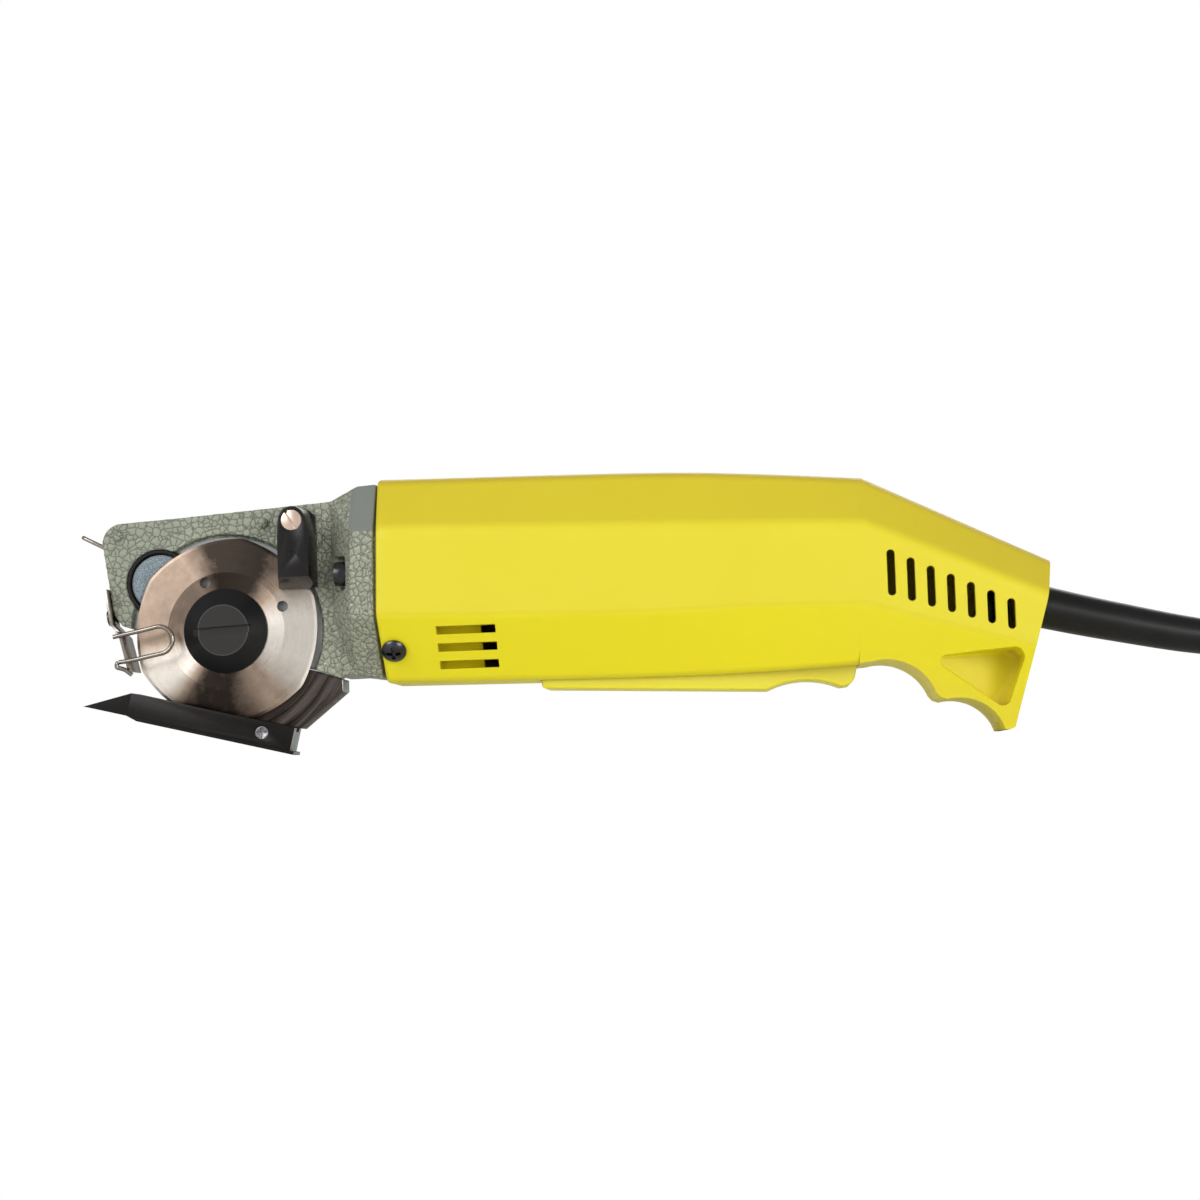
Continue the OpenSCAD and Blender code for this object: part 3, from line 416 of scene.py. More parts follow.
def make_finishes():
    looks = bpy.context.scene.cutter_looks
    yellow, paddle, head = list(looks.handle_colour), list(looks.paddle_colour), list(looks.head_colour)
    FINISHES.update(
        handle_plastic=plastic("yellow_handle_plastic", yellow, toned(yellow, 0.985, 0.965, 0.8)),
        paddle_plastic=plastic("yellow_paddle_plastic", paddle, toned(paddle, 0.98, 0.965, 0.85), 0.36, 2.2),
        red_plastic=plastic("red_switch_plastic", [0.55, 0.04, 0.03], [0.45, 0.03, 0.02]),
        # The head's last colour is the cream of the glints painted near the handle
        head_paint=hammertone("hammered_grey_green_paint", head, toned(head, 0.25, 0.25, 0.25),
                              (0.92, 0.80, 0.60)),
        flange_enamel=smooth_enamel("fine_grey_enamel", (0.235, 0.255, 0.235), (0.20, 0.215, 0.20)),
        recess_metal=metal("bare_recess_aluminium", (0.45, 0.46, 0.46), (0.36, 0.37, 0.37), 0.42,
                           depth=0.00006, metallic=0.7),
        bright_steel=metal("bright_steel", (0.62, 0.62, 0.63), (0.5, 0.5, 0.52), 0.24),
        hardened_steel=metal("hardened_steel", (0.32, 0.32, 0.34), (0.22, 0.21, 0.22), 0.32),
        bare_end=metal("bare_cut_steel", (0.46, 0.50, 0.50), (0.36, 0.40, 0.40), 0.35, depth=0.00003),
        dark_screw=metal("black_zinc_screw", (0.05, 0.05, 0.055), (0.09, 0.09, 0.1), 0.24),
        copper_plate=metal("copper_plated_screw", (0.72, 0.50, 0.41), (0.80, 0.62, 0.52), 0.3),
        wire_nickel=metal("warm_nickel_wire", (0.40, 0.355, 0.31), (0.28, 0.25, 0.215), 0.22),
        plug_brass=metal("nickelled_pins", (0.70, 0.68, 0.64), (0.6, 0.57, 0.52), 0.22),
        bronze=metal("bearing_bronze", (0.62, 0.4, 0.18), (0.45, 0.28, 0.12), 0.34, depth=0.00003),
        copper_bars=metal("commutator_copper", (0.72, 0.38, 0.22), (0.5, 0.25, 0.14), 0.28),
        copper_wire=wound_wire("enamelled_copper_wire", (0.6, 0.24, 0.1), (0.22, 0.07, 0.03)),
        laminations=stacked_sheets(),
        carbon=black_finish("brush_carbon", (0.03, 0.03, 0.032), (0.05, 0.05, 0.052), 0.5),
        black_plastic=black_finish("glossy_black_plastic", (0.004, 0.0035, 0.0035), (0.009, 0.007, 0.006),
                                   0.22, 0.000012, 0.15, Specular_IOR_Level=0.35),
        black_oxide=black_finish("brown_black_oxide", (0.005, 0.0045, 0.004), (0.011, 0.008, 0.007), 0.34,
                                 0.000025, 0.15, Specular_IOR_Level=0.22),
        boot_rubber=black_finish("boot_rubber", (0.004, 0.004, 0.0045), (0.008, 0.008, 0.0085), 0.33,
                                 0.00003, 0.1, Specular_IOR_Level=0.35),
        lead_jacket=black_finish("lead_jacket", (0.009, 0.009, 0.010), (0.014, 0.014, 0.016), 0.4,
                                 0.00003, 0.1, Specular_IOR_Level=0.35),
        blade_steel=blade_finish(),
        nut_black=turned_black(),
        stand_oxide=grooved_oxide(),
        grit=stone_grit(),
    )


# ---------------------------------------------------------------- mesh work


def link_piece(name, mesh):
    piece = bpy.data.objects.new(name, mesh)
    bpy.context.scene.collection.objects.link(piece)
    return piece


def solid(name, points, faces):
    """A mesh object from drawing points."""
    mesh = bpy.data.meshes.new(name)
    mesh.from_pydata([at(*p) for p in points], [], faces)
    tidy = bmesh.new()
    tidy.from_mesh(mesh)
    bmesh.ops.remove_doubles(tidy, verts=tidy.verts, dist=1e-7)
    bmesh.ops.recalc_face_normals(tidy, faces=tidy.faces)
    tidy.to_mesh(mesh)
    tidy.free()
    return link_piece(name, mesh)


def lofted(name, rings, closed=False):
    """A solid through rings of equal length."""
    n, last = len(rings[0]), len(rings) - 1
    points = [p for ring in rings for p in ring]
    faces = []
    for i in range(last + (1 if closed else 0)):
        a, b = i * n, ((i + 1) % (last + 1)) * n
        faces += [(a + k, a + (k + 1) % n, b + (k + 1) % n, b + k) for k in range(n)]
    if not closed:
        faces += [tuple(range(n)), tuple(last * n + k for k in range(n))]
    return solid(name, points, faces)


def slab(name, outline, y0, y1):
    """An outline in (x, z), thickened from y0 to y1."""
    return lofted(name, [[(x, y, z) for x, z in outline] for y in (y0, y1)])


def round_bar(name, x, z, radius, y0, y1, sides=32):
    return slab(name, arc(x, z, radius, 0, 360 * (1 - 1 / sides), sides - 1), y0, y1)


def arc(cx, cz, radius, start, end, steps):
    turns = [radians(start + (end - start) * i / steps) for i in range(steps + 1)]
    return [(cx + radius * cos(a), cz + radius * sin(a)) for a in turns]


def settle(piece):
    """Applies the piece's modifiers to its mesh."""
    view = bpy.context.evaluated_depsgraph_get()
    mesh = bpy.data.meshes.new_from_object(piece.evaluated_get(view), depsgraph=view)
    old = piece.data
    piece.modifiers.clear()
    piece.data = mesh
    bpy.data.meshes.remove(old)
    return piece


def carve(piece, cutter, operation="DIFFERENCE"):
    """Cuts, joins or intersects with a second solid, which is used up."""
    change = piece.modifiers.new("carve", "BOOLEAN")
    change.operation, change.solver, change.object = operation, "EXACT", cutter
    settle(piece)
    bpy.data.objects.remove(cutter)
    return piece


def soften(piece, width, segments=2, angle=35):
    change = piece.modifiers.new("soft edges", "BEVEL")
    change.width, change.segments, change.limit_method = width * MM, segments, "ANGLE"
    change.angle_limit, change.use_clamp_overlap = radians(angle), True
    change.miter_outer = "MITER_ARC"
    return piece


def smooth(piece, angle=32):
    """Smooth shading, kept sharp across edges steeper than the angle."""
    piece.data.shade_smooth()
    piece.data.set_sharp_from_angle(angle=radians(angle))
    return piece


def dress(piece, slot, finish_name=None):
    piece.data.materials.clear()
    piece.data.materials.append(FINISHES[finish_name or slot])
    return piece


def place(piece, body, slot, *nodes, finish_name=None):
    """Gives a new piece its body and the finish named by its slot, and hides the CAD nodes that it stands
    for.
    """
    if piece.type == "MESH" and not piece.data.materials:
        dress(piece, slot, finish_name)
    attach(piece, body)
    if nodes:
        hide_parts(*nodes)
    return piece


def copy_of(node, name):
    """A welded copy of a CAD node's mesh, to be shaped as a new piece."""
    mesh = NODES[node].data.copy()
    mesh.materials.clear()
    work = bmesh.new()
    work.from_mesh(mesh)
    bmesh.ops.remove_doubles(work, verts=work.verts, dist=2e-6)
    bmesh.ops.dissolve_limit(work, angle_limit=radians(0.6), verts=work.verts, edges=work.edges)
    work.to_mesh(mesh)
    work.free()
    mesh.name = name
    if mesh.attributes.get("custom_normal"):
        mesh.attributes.remove(mesh.attributes["custom_normal"])
    return link_piece(name, mesh)


def rounded_copy(node, name, body, slot, width, finish_name=None, segments=2, angle=35):
    """Stands for a node with the same shape and rounded edges."""
    piece = copy_of(node, name)
    soften(piece, width, segments, angle)
    settle(piece)
    smooth(piece)
    return place(piece, body, slot, node, finish_name=finish_name)


def cast_copy(node, name, voxel, passes):
    """Stands for a node as a casting: edges and inner corners melt together."""
    piece = copy_of(node, name)
    grid = piece.modifiers.new("grid", "REMESH")
    grid.mode, grid.voxel_size, grid.adaptivity = "VOXEL", voxel * MM, 0.0
    melt = piece.modifiers.new("melt", "SMOOTH")
    melt.factor, melt.iterations = 0.5, passes
    settle(piece)
    piece.data.shade_smooth()
    return piece


def keep_node(node, slot):
    """Gives a carried-over CAD node the finish named by its slot."""
    return dress(NODES[node], slot)


def route_curve(name, points, radius, sides=6):
    """A round curve through drawing points, as one open spline."""
    curve = bpy.data.curves.new(name, "CURVE")
    curve.dimensions, curve.bevel_depth, curve.bevel_resolution = "3D", 1.0, sides
    curve.use_fill_caps = True
    line = curve.splines.new("POLY")
    line.points.add(len(points) - 1)
    for knot, p in zip(line.points, points):
        knot.co = (*at(*p), 1.0)
        knot.radius = radius * MM
    piece = bpy.data.objects.new(name, curve)
    bpy.context.scene.collection.objects.link(piece)
    return piece


def smooth_route(keys, steps):
    """Catmull-Rom points through the keys."""
    padded = [keys[0], *keys, keys[-1]]
    out = []
    for i in range(1, len(padded) - 2):
        a, b, c, d = (Vector(p) for p in padded[i - 1:i + 3])
        for s in range(steps):
            t = s / steps
            out.append(tuple(0.5 * ((2 * b) + (c - a) * t + (2 * a - 5 * b + 4 * c - d) * t * t
                                    + (3 * b - a - 3 * c + d) * t ** 3)))
    return out + [tuple(keys[-1])]


def swept(name, points, radii, sides=32, up=(0, 0, 1), squash=1.0):
    """A round tube with its own radius at each point."""
    rings = []
    for i, p in enumerate(points):
        ahead = Vector(points[min(i + 1, len(points) - 1)]) - Vector(points[max(i - 1, 0)])
        side = ahead.normalized().cross(Vector(up)).normalized()
        lift = side.cross(ahead.normalized())
        rings.append([tuple(Vector(p) + radii[i] * (sin(2 * pi * k / sides) * side * squash
                                                   + cos(2 * pi * k / sides) * lift)) for k in range(sides)])
    return lofted(name, rings)


def turned(name, profile, x=AXIS_X, z=AXIS_Z, sides=96, closed=False):
    """A lathe solid through (radius, y) points, round the blade's axis or another one along y."""
    rings = [[(x + r * cos(2 * pi * k / sides), y, z + r * sin(2 * pi * k / sides)) for k in range(sides)]
             for r, y in profile]
    return lofted(name, rings, closed)


# ---------------------------------------------------------------- settings


class CutterSizes(bpy.types.PropertyGroup):
    """Sizes of the visual pieces, in millimetres of the drawing."""

    shell_wall: FloatProperty(
        name="Shell wall", description="Wall thickness of the handle, in millimetres",
        default=2.5, min=1.5, max=3.0)
    crease_round: FloatProperty(
        name="Crease rounding", description="How softly the handle's creases turn, in millimetres",
        default=2.6, min=0.5, max=5.0)
    edge_round: FloatProperty(
        name="Edge rounding", description="Rounding of cut edges in the handle, in millimetres",
        default=0.5, min=0.1, max=1.0)
    casting_grid: FloatProperty(
        name="Casting grid", description="Grid of the cast head's skin, in millimetres",
        default=0.42, min=0.25, max=1.0)


class CutterLooks(bpy.types.PropertyGroup):
    """Colours that a user may change."""

    handle_colour: FloatVectorProperty(
        name="Handle", description="Colour of the handle's plastic",
        subtype="COLOR", size=3, default=(0.80, 0.70, 0.026), min=0, max=1)
    paddle_colour: FloatVectorProperty(
        name="Trigger", description="Colour of the trigger paddle",
        subtype="COLOR", size=3, default=(0.86, 0.78, 0.08), min=0, max=1)
    head_colour: FloatVectorProperty(
        name="Head", description="Colour of the head's hammered paint",
        subtype="COLOR", size=3, default=(0.36, 0.385, 0.30), min=0, max=1)


# ---------------------------------------------------------------- stage

TABLE_REACH = 2.5
VIEW_SPOT = (0.05432, -0.70983, -0.00946)
VIEW_AZIMUTH, VIEW_RISE, VIEW_ROLL = radians(3.5), radians(-4.0), radians(2.02)
SENSOR_WIDTH, FOCAL_LENGTH = 36.0, 76.77
LIGHTS_AIM = (0, 0, 0.04)


def make_world():
    """Dim white surroundings that are pure white where they are seen directly."""
    world = bpy.data.worlds.new("studio")
    bpy.context.scene.world = world
    world.use_nodes = True
    tree = world.node_tree
    tree.nodes.clear()
    net = Net(tree)
    direction = net.split(net.put("TexCoord", out=0))
    up = net.between(direction[2], -0.2, 0.95, 0.62, 0.34)
    side = net.between(direction[1], -1.0, 0.6, 1.1, 0.75)
    strength = net.math("MULTIPLY", up, side)
    seen = net.put("LightPath")
    level = net.put("Mix", out=0, data_type="FLOAT", in0=seen, in2=strength, in3=1.0)
    sky = net.put("Background", Color=(1.0, 1.0, 1.0, 1.0), Strength=level)
    end = tree.nodes.new("ShaderNodeOutputWorld")
    net.feed(end.inputs[0], sky)


def make_floor():
    """A pale table that is clear from below."""
    mesh = bpy.data.meshes.new("studio_floor")
    corners = [(x * TABLE_REACH, y * TABLE_REACH, 0) for x, y in ((-1, -1), (1, -1), (1, 1), (-1, 1))]
    mesh.from_pydata(corners, [], [(0, 1, 2, 3)])
    floor = link_piece("studio_floor", mesh)
    material, net, sockets = finish("pale_table", (0.86, 0.86, 0.85), 0.6)
    shader = sockets["Base Color"].node
    clear = net.put("BsdfTransparent")
    below = net.put("NewGeometry", out=6)
    both = net.put("MixShader", in0=below, in1=shader.outputs[0], in2=clear)
    end = next(n for n in net.tree.nodes if n.type == "OUTPUT_MATERIAL")
    net.feed(end.inputs[0], both)
    mesh.materials.append(material)


def add_light(name, spot, size, power, colour=(1, 1, 1)):
    lamp = bpy.data.lights.new(name, "AREA")
    lamp.shape, lamp.size, lamp.size_y = "RECTANGLE", *size
    lamp.energy, lamp.color = power, colour
    light = bpy.data.objects.new(name, lamp)
    bpy.context.scene.collection.objects.link(light)
    light.location = spot
    light.rotation_euler = (Vector(LIGHTS_AIM) - Vector(spot)).to_track_quat("-Z", "Y").to_euler()


def make_camera():
    azimuth, rise, roll = VIEW_AZIMUTH, VIEW_RISE, VIEW_ROLL
    back = Vector((sin(azimuth) * cos(rise), -cos(azimuth) * cos(rise), sin(rise)))
    right0 = Vector((cos(azimuth), sin(azimuth), 0))
    up0 = Vector((-sin(azimuth) * sin(rise), cos(azimuth) * sin(rise), cos(rise)))
    right = right0 * cos(roll) - up0 * sin(roll)
    up = right0 * sin(roll) + up0 * cos(roll)
    data = bpy.data.cameras.new("view")
    data.sensor_width, data.lens, data.clip_start = SENSOR_WIDTH, FOCAL_LENGTH, 0.01
    camera = bpy.data.objects.new("view", data)
    bpy.context.scene.collection.objects.link(camera)
    turn = Matrix((right, up, back)).transposed().to_4x4()
    camera.matrix_world = Matrix.Translation(Vector(VIEW_SPOT)) @ turn
    bpy.context.scene.camera = camera


class CUTTER_OT_stage(bpy.types.Operator):
    """Camera, pale floor, white surroundings and soft lights"""

    bl_idname = "cutter.stage"
    bl_label = "Stage"

    def execute(self, context):
        context.scene.view_settings.view_transform = "Standard"
        make_camera()
        make_world()
        make_floor()
        add_light("front_left_softbox", (-0.55, -0.75, 0.45), (0.5, 0.5), 3.6)
        add_light("front_right_softbox", (0.65, -0.8, 0.15), (0.5, 0.4), 4.2, (1, 0.985, 0.96))
        add_light("rear_softbox", (0.1, 0.9, 0.7), (0.8, 0.5), 3.0)
        return {"FINISHED"}


# ---------------------------------------------------------------- cord

BOOT_ROUTE = [(200, 0, 35), (207, 0, 33.2), (214, 0, 31.4), (221, 0, 29.7), (228, 0, 28.1),
              (235, 0, 26.5), (242, 0, 25), (248, 0, 23.9), (254, 0, 22.9), (260, 0, 22)]
LEAD_ROUTE = [(260, 0, 22), (266, -0.4, 21.1), (272, -1.8, 19.6), (278, -4.2, 17.2), (284, -7.4, 13.9),
              (290, -11.2, 10.3), (296, -14.8, 7.1), (302, -18, 4.8), (308, -20.6, 3.6), (314, -22.4, 3.3),
              (320, -23.4, 3.25), (326, -23.7, 3.25)]
TAIL_ROUTE = [(360, -23.7, 22.75), (366, -23.6, 22.5), (372, -23, 21.4), (378, -21.8, 19.3), (385, -19.6, 16),
              (392, -16.8, 12.6), (399, -14, 9.8), (405, -11.8, 8.2), (411, -10.2, 7.3), (417, -9.2, 7),
              (421, -9, 7)]
HANK_X, HANK_Y, HANK_RUN = 326, 6.2, 34
HANK_OUT, HANK_IN = 29.9, 20
RUN_SHARE = HANK_RUN / (2 * HANK_RUN + pi * (HANK_OUT + HANK_IN))
RISE_TURNS = 0.35
LAYER_TURNS = (7 + RUN_SHARE - 3 * RISE_TURNS) / 4
PLUG_X, PLUG_Y, PLUG_Z = TAIL_ROUTE[-1]
# Distance behind the cord's end, half width, half height and squareness of each section
PLUG_SECTIONS = [(0, 4.2, 4.2, 2), (7, 4.5, 4.5, 2), (13, 5.3, 5.3, 2), (15, 8.6, 5.0, 2.2),
                 (22, 12.4, 5.6, 2.6), (30, 15.4, 6.4, 2.8), (37, 17.3, 6.9, 3), (39.5, 17.4, 6.9, 3),
                 (40, 16.9, 6.5, 3)]
STRAP_HALF_WIDTH, STRAP_HALF_THICK, STRAP_BEND = 4, 0.45, 6
STRAP_SECTION = ((-1, -0.6), (-1, 0.6), (-0.93, 1), (0.93, 1), (1, 0.6), (1, -0.6), (0.93, -1), (-0.93, -1))


def hank_point(phase, r):
    """A point of the oval that one turn follows, phase 0 to 1 round it."""
    run, bend = RUN_SHARE, 0.5 - RUN_SHARE
    p = phase % 1
    side = 1 if p < 0.5 else -1
    q = p if p < 0.5 else p - 0.5
    if q < run:
        along_run = HANK_RUN * q / run
        return (HANK_X + along_run if side > 0 else HANK_X + HANK_RUN - along_run, HANK_Y - side * r)
    a = (q - run) / bend * pi - pi / 2
    middle = HANK_X + (HANK_RUN if side > 0 else 0)
    return (middle + side * r * cos(a), HANK_Y + side * r * sin(a))


def hank_points(per_turn=40):
    """Four flat layers of turns, wound in and out, with a rise between each two."""
    points, phase = [], 0.0
    plan = []
    for layer in range(4):
        ends = (HANK_OUT, HANK_IN) if layer % 2 == 0 else (HANK_IN, HANK_OUT)
        low = CORD_R + CORD_D * layer
        plan.append((LAYER_TURNS, *ends, low, low))
        if layer < 3:
            plan.append((RISE_TURNS, ends[1], ends[1], low, low + CORD_D))
    for turns, r0, r1, z0, z1 in plan:
        count = max(2, round(turns * per_turn))
        for i in range(count):
            t = i / count
            x, y = hank_point(phase + turns * t, r0 + (r1 - r0) * t)
            points.append((x, y, z0 + (z1 - z0) * t * t * (3 - 2 * t)))
        phase += turns
    return points


class CUTTER_OT_cord(bpy.types.Operator):
    """Boot, mains lead in its tied hank, and plug"""

    bl_idname = "cutter.cord"
    bl_label = "Cord"

    def execute(self, context):
        boot_line = smooth_route(BOOT_ROUTE, 4)
        count = len(boot_line)
        radii = [5.95 - 1.35 * i / (count - 1) for i in range(count)]
        radii[-1] -= 0.5
        radii[-2] -= 0.12
        boot = swept("cord_boot_sleeve", boot_line, radii, 40)
        smooth(place(boot, "machine", "boot_rubber", "cord_boot"), 50)
        lead = [*smooth_route([(203, 0, 34.2), *BOOT_ROUTE[2:-1], *LEAD_ROUTE], 3)[:-1], *hank_points(),
                *smooth_route(TAIL_ROUTE, 3)]
        cord = route_curve("mains_lead", lead, CORD_R)
        place(cord, "machine", "lead_jacket", "cord_lead", "cord_hank", "cord_tail")
        cord.data.materials.append(FINISHES["lead_jacket"])
        plug = self.plug()
        tie = self.tie()
        pins = keep_node("plug_pins", "plug_brass")
        return {"FINISHED"}

    def plug(self):
        rings = []
        for dx, wide, high, power in PLUG_SECTIONS:
            ring = []
            for k in range(56):
                a = 2 * pi * k / 56
                c, s = cos(a), sin(a)
                ring.append((PLUG_X + dx, PLUG_Y + wide * abs(c) ** (2 / power) * (1 if c > 0 else -1),
                             PLUG_Z + high * abs(s) ** (2 / power) * (1 if s > 0 else -1)))
            rings.append(ring)
        plug = lofted("mains_plug", rings)
        for i in range(5):
            x = PLUG_X + 19 + 3.2 * i
            groove = [(x, PLUG_Z - 5), (x + 1.2, PLUG_Z - 5), (x + 1.2, PLUG_Z + 5), (x, PLUG_Z + 5)]
            for side in (-1, 1):
                y = side * (13.8 + 0.95 * i)
                low, high = sorted((y, y + side * 9))
                carve(plug, slab("grip", groove, PLUG_Y + low, PLUG_Y + high))
        smooth(plug, 40)
        return place(plug, "machine", "boot_rubber", "plug_body")

    def tie(self):
        """A flat strap over the hank, from the table on one side to the table on the other."""
        half, top, bend = HANK_OUT + 3.9, 4 * CORD_D + 0.55, STRAP_BEND
        path = [(-half, 0.5), (-half, top - bend), *arc(-half + bend, top - bend, bend, 180, 90, 8)[1:],
                *arc(half - bend, top - bend, bend, 90, 0, 8), (half, 0.5)]
        rings = []
        for i, (u, w) in enumerate(path):
            before, after = path[max(i - 1, 0)], path[min(i + 1, len(path) - 1)]
            run = Vector((after[0] - before[0], after[1] - before[1])).normalized()
            normal = Vector((0, -run[1], run[0]))
            middle = Vector((HANK_X + HANK_RUN / 2, HANK_Y + u, w))
            rings.append([tuple(middle + Vector((s * STRAP_HALF_WIDTH, 0, 0)) + normal * t * STRAP_HALF_THICK)
                          for s, t in STRAP_SECTION])
        tie = lofted("hank_strap", rings)
        smooth(tie, 40)
        return place(tie, "machine", "black_plastic", "hank_tie")


# ---------------------------------------------------------------- handle

TOP_W, WIDE, LOW_W = 16.3, 27.0, 14.0
SECTIONS = [
    [(24.6, TOP_W, 74.8), (25.3, WIDE, 59.8), (24.7, WIDE, 36.5), (25.3, LOW_W, 18.8)],
    [(96.9, TOP_W, 73.7), (91.5, WIDE, 58.0), (90.7, WIDE, 34.8), (98, LOW_W + 0.5, 17.8)],
    [(128, TOP_W, 72.1), (126, WIDE, 57.1), (128.4, WIDE, 35.2), (128, LOW_W + 2, 18.0)],
    [(156.9, TOP_W, 69.7), (156.7, WIDE, 56.1), (155.9, WIDE, 35.0), (154, LOW_W + 5.5, 18.9)],
]
BUTT_REAR = [(206.8, 15.3, 45.2), (204.8, 26.5, 35.3), (200.8, 26.5, 21.6), (198.4, 20, 12), (194.2, 17, -3)]
ROOM_REAR = [(203.4, 13.3, 42.6), (201.6, 23.8, 34.4), (198.2, 23.8, 24.6), (197.8, 19, 23.6)]
INWARD = (-1, -0.4, 0.4, 1)
FAR_SCREWS = [(36.3, 24.4), (106, 66.5), (162, 29), (186, 49.5)]
VENT_HALF_WIDTH = 1.1
# Place (x, z) and half length of the first rear vent, and how each grows from one vent to the next
REAR_VENTS, REAR_VENT_FIRST, REAR_VENT_STEP = 7, (163.4, 42.7, 5.1), (5.22, -2.03, -0.35)
FRONT_VENTS_X, FRONT_VENTS_Z = (40.6, 56.8), (23, 27.6, 32.1)
# x, z, corner radius and depth of the side pockets' three corners
POCKET_CORNERS = ((177.4, 18.6, 1.7, 20.2), (195.2, 19.0, 2.3, 12.5), (192.1, 8.6, 2.0, 12.5))
BAFFLE_X, BAFFLE_TOP, BAFFLE_FOOT = (39.5, 52.3), 35, 18.4


def inset(side, depth, shift=0.0):
    return [(x + shift, y - depth, z + depth * lean) for (x, y, z), lean in zip(side, INWARD)]


def section_ring(side, cuts, steps=6):
    """A closed section from half of its corners, each corner turned softly."""
    corners = [Vector((x, -y, z)) for x, y, z in side] + [Vector(p) for p in reversed(side)]
    sizes = [*cuts, *reversed(cuts)]
    ring = []
    for i, here in enumerate(corners):
        start = here + (corners[i - 1] - here).normalized() * sizes[i]
        end = here + (corners[(i + 1) % len(corners)] - here).normalized() * sizes[i]
        for s in range(steps + 1):
            t = s / steps
            ring.append(tuple((1 - t) ** 2 * start + 2 * t * (1 - t) * here + t * t * end))
    return ring


def butt_outline():
    return [(150, 80), (214, 80), (209, 44), (206, 33), (195.9, 2.2), (195.2, 0.6), (193.9, 0), (192.6, 0),
            *arc(180.3, -4, 13, 27, 103, 22), (175.6, 9.3), *arc(161, 5.5, 14.4, 21, 104, 26), (150, 18.8)]


def handle_solid(crease):
    cuts = [crease * 1.15, crease, crease * 0.55, crease * 0.8]
    lines = [smooth_route([s[i] for s in SECTIONS], 7) for i in range(4)]
    stations = [[line[k] for line in lines] for k in range(len(lines[0]))]
    rings = [section_ring(inset(stations[0], 0.9), cuts), section_ring(inset(stations[0], 0.35, 0.25), cuts)]
    stations_behind_lip = [[(x + 0.9, y, z) for x, y, z in stations[0]], *stations[1:]]
    rings += [section_ring(station, cuts) for station in stations_behind_lip]
    rings.append(section_ring(inset(stations[-1], 3, 2), cuts))
    body = lofted("handle_body", rings)
    butt_cuts = [*cuts[:3], 6.0, 1.0]
    bend = [*stations[-1], (154, 17, -3)]
    steps = [[tuple(Vector(a).lerp(Vector(b), t)) for a, b in zip(bend, BUTT_REAR)]
             for t in (0, 0.33, 0.66, 1)]
    butt = lofted("butt", [section_ring(step, butt_cuts) for step in steps])
    carve(butt, slab("butt_side", butt_outline(), -60, 60), "INTERSECT")
    return carve(body, butt, "UNION")


def handle_room(wall):
    keys = [inset(s, wall, dx) for s, dx in zip(SECTIONS, (-6, 0, 0, 1))]
    room = lofted("handle_room", [section_ring(s, [1.5] * 4, 3) for s in keys])
    start = [*inset(SECTIONS[3], wall, -1)[:3], (154, LOW_W + 2, 23.6)]
    rear = lofted("butt_room", [section_ring(s, [1.5] * 4, 3) for s in (start, ROOM_REAR)])
    return carve(room, rear, "UNION")


def vent_cutters():
    made = []
    for i in range(REAR_VENTS):
        x, z, half = (first + i * step for first, step in zip(REAR_VENT_FIRST, REAR_VENT_STEP))
        upper_end = arc(x, z + half, VENT_HALF_WIDTH, 0, 180, 8)
        lower_end = arc(x, z - half, VENT_HALF_WIDTH, 180, 360, 8)
        made.append(slab("vent", upper_end + lower_end, -60, 0))
    front, rear = FRONT_VENTS_X
    for z in FRONT_VENTS_Z:
        low, high = z - VENT_HALF_WIDTH, z + VENT_HALF_WIDTH
        made.append(slab("vent", [(front, low), (rear, low), (rear, high), (front, high)], -60, 0))
    return made


def pocket_cutter(side):
    mesh = bpy.data.meshes.new("pocket")
    work = bmesh.new()
    for x, z, radius, depth in POCKET_CORNERS:
        for grow, y in ((0.0, depth), (0.9, 33)):
            for px, pz in arc(x, z, radius + grow * 0.8, 0, 345, 23):
                work.verts.new(at(px, side * y, pz))
    bmesh.ops.convex_hull(work, input=work.verts)
    bmesh.ops.recalc_face_normals(work, faces=work.faces)
    work.to_mesh(mesh)
    work.free()
    return link_piece("pocket", mesh)


def low_screw_frame(side):
    """Origin and outward direction of a front screw, through the lower facet."""
    origin = Vector((28.6, side * 20, 27.8))
    turn = radians(side * -126)
    return origin, Vector((0, -sin(turn), cos(turn)))


def bar_along(name, origin, heading, radius, back, ahead, sides=32):
    points = [tuple(origin + heading * back), tuple(origin + heading * ahead)]
    up = (1, 0, 0) if abs(heading.x) < 0.9 else (0, 0, 1)
    return swept(name, points, [radius, radius], sides, up)


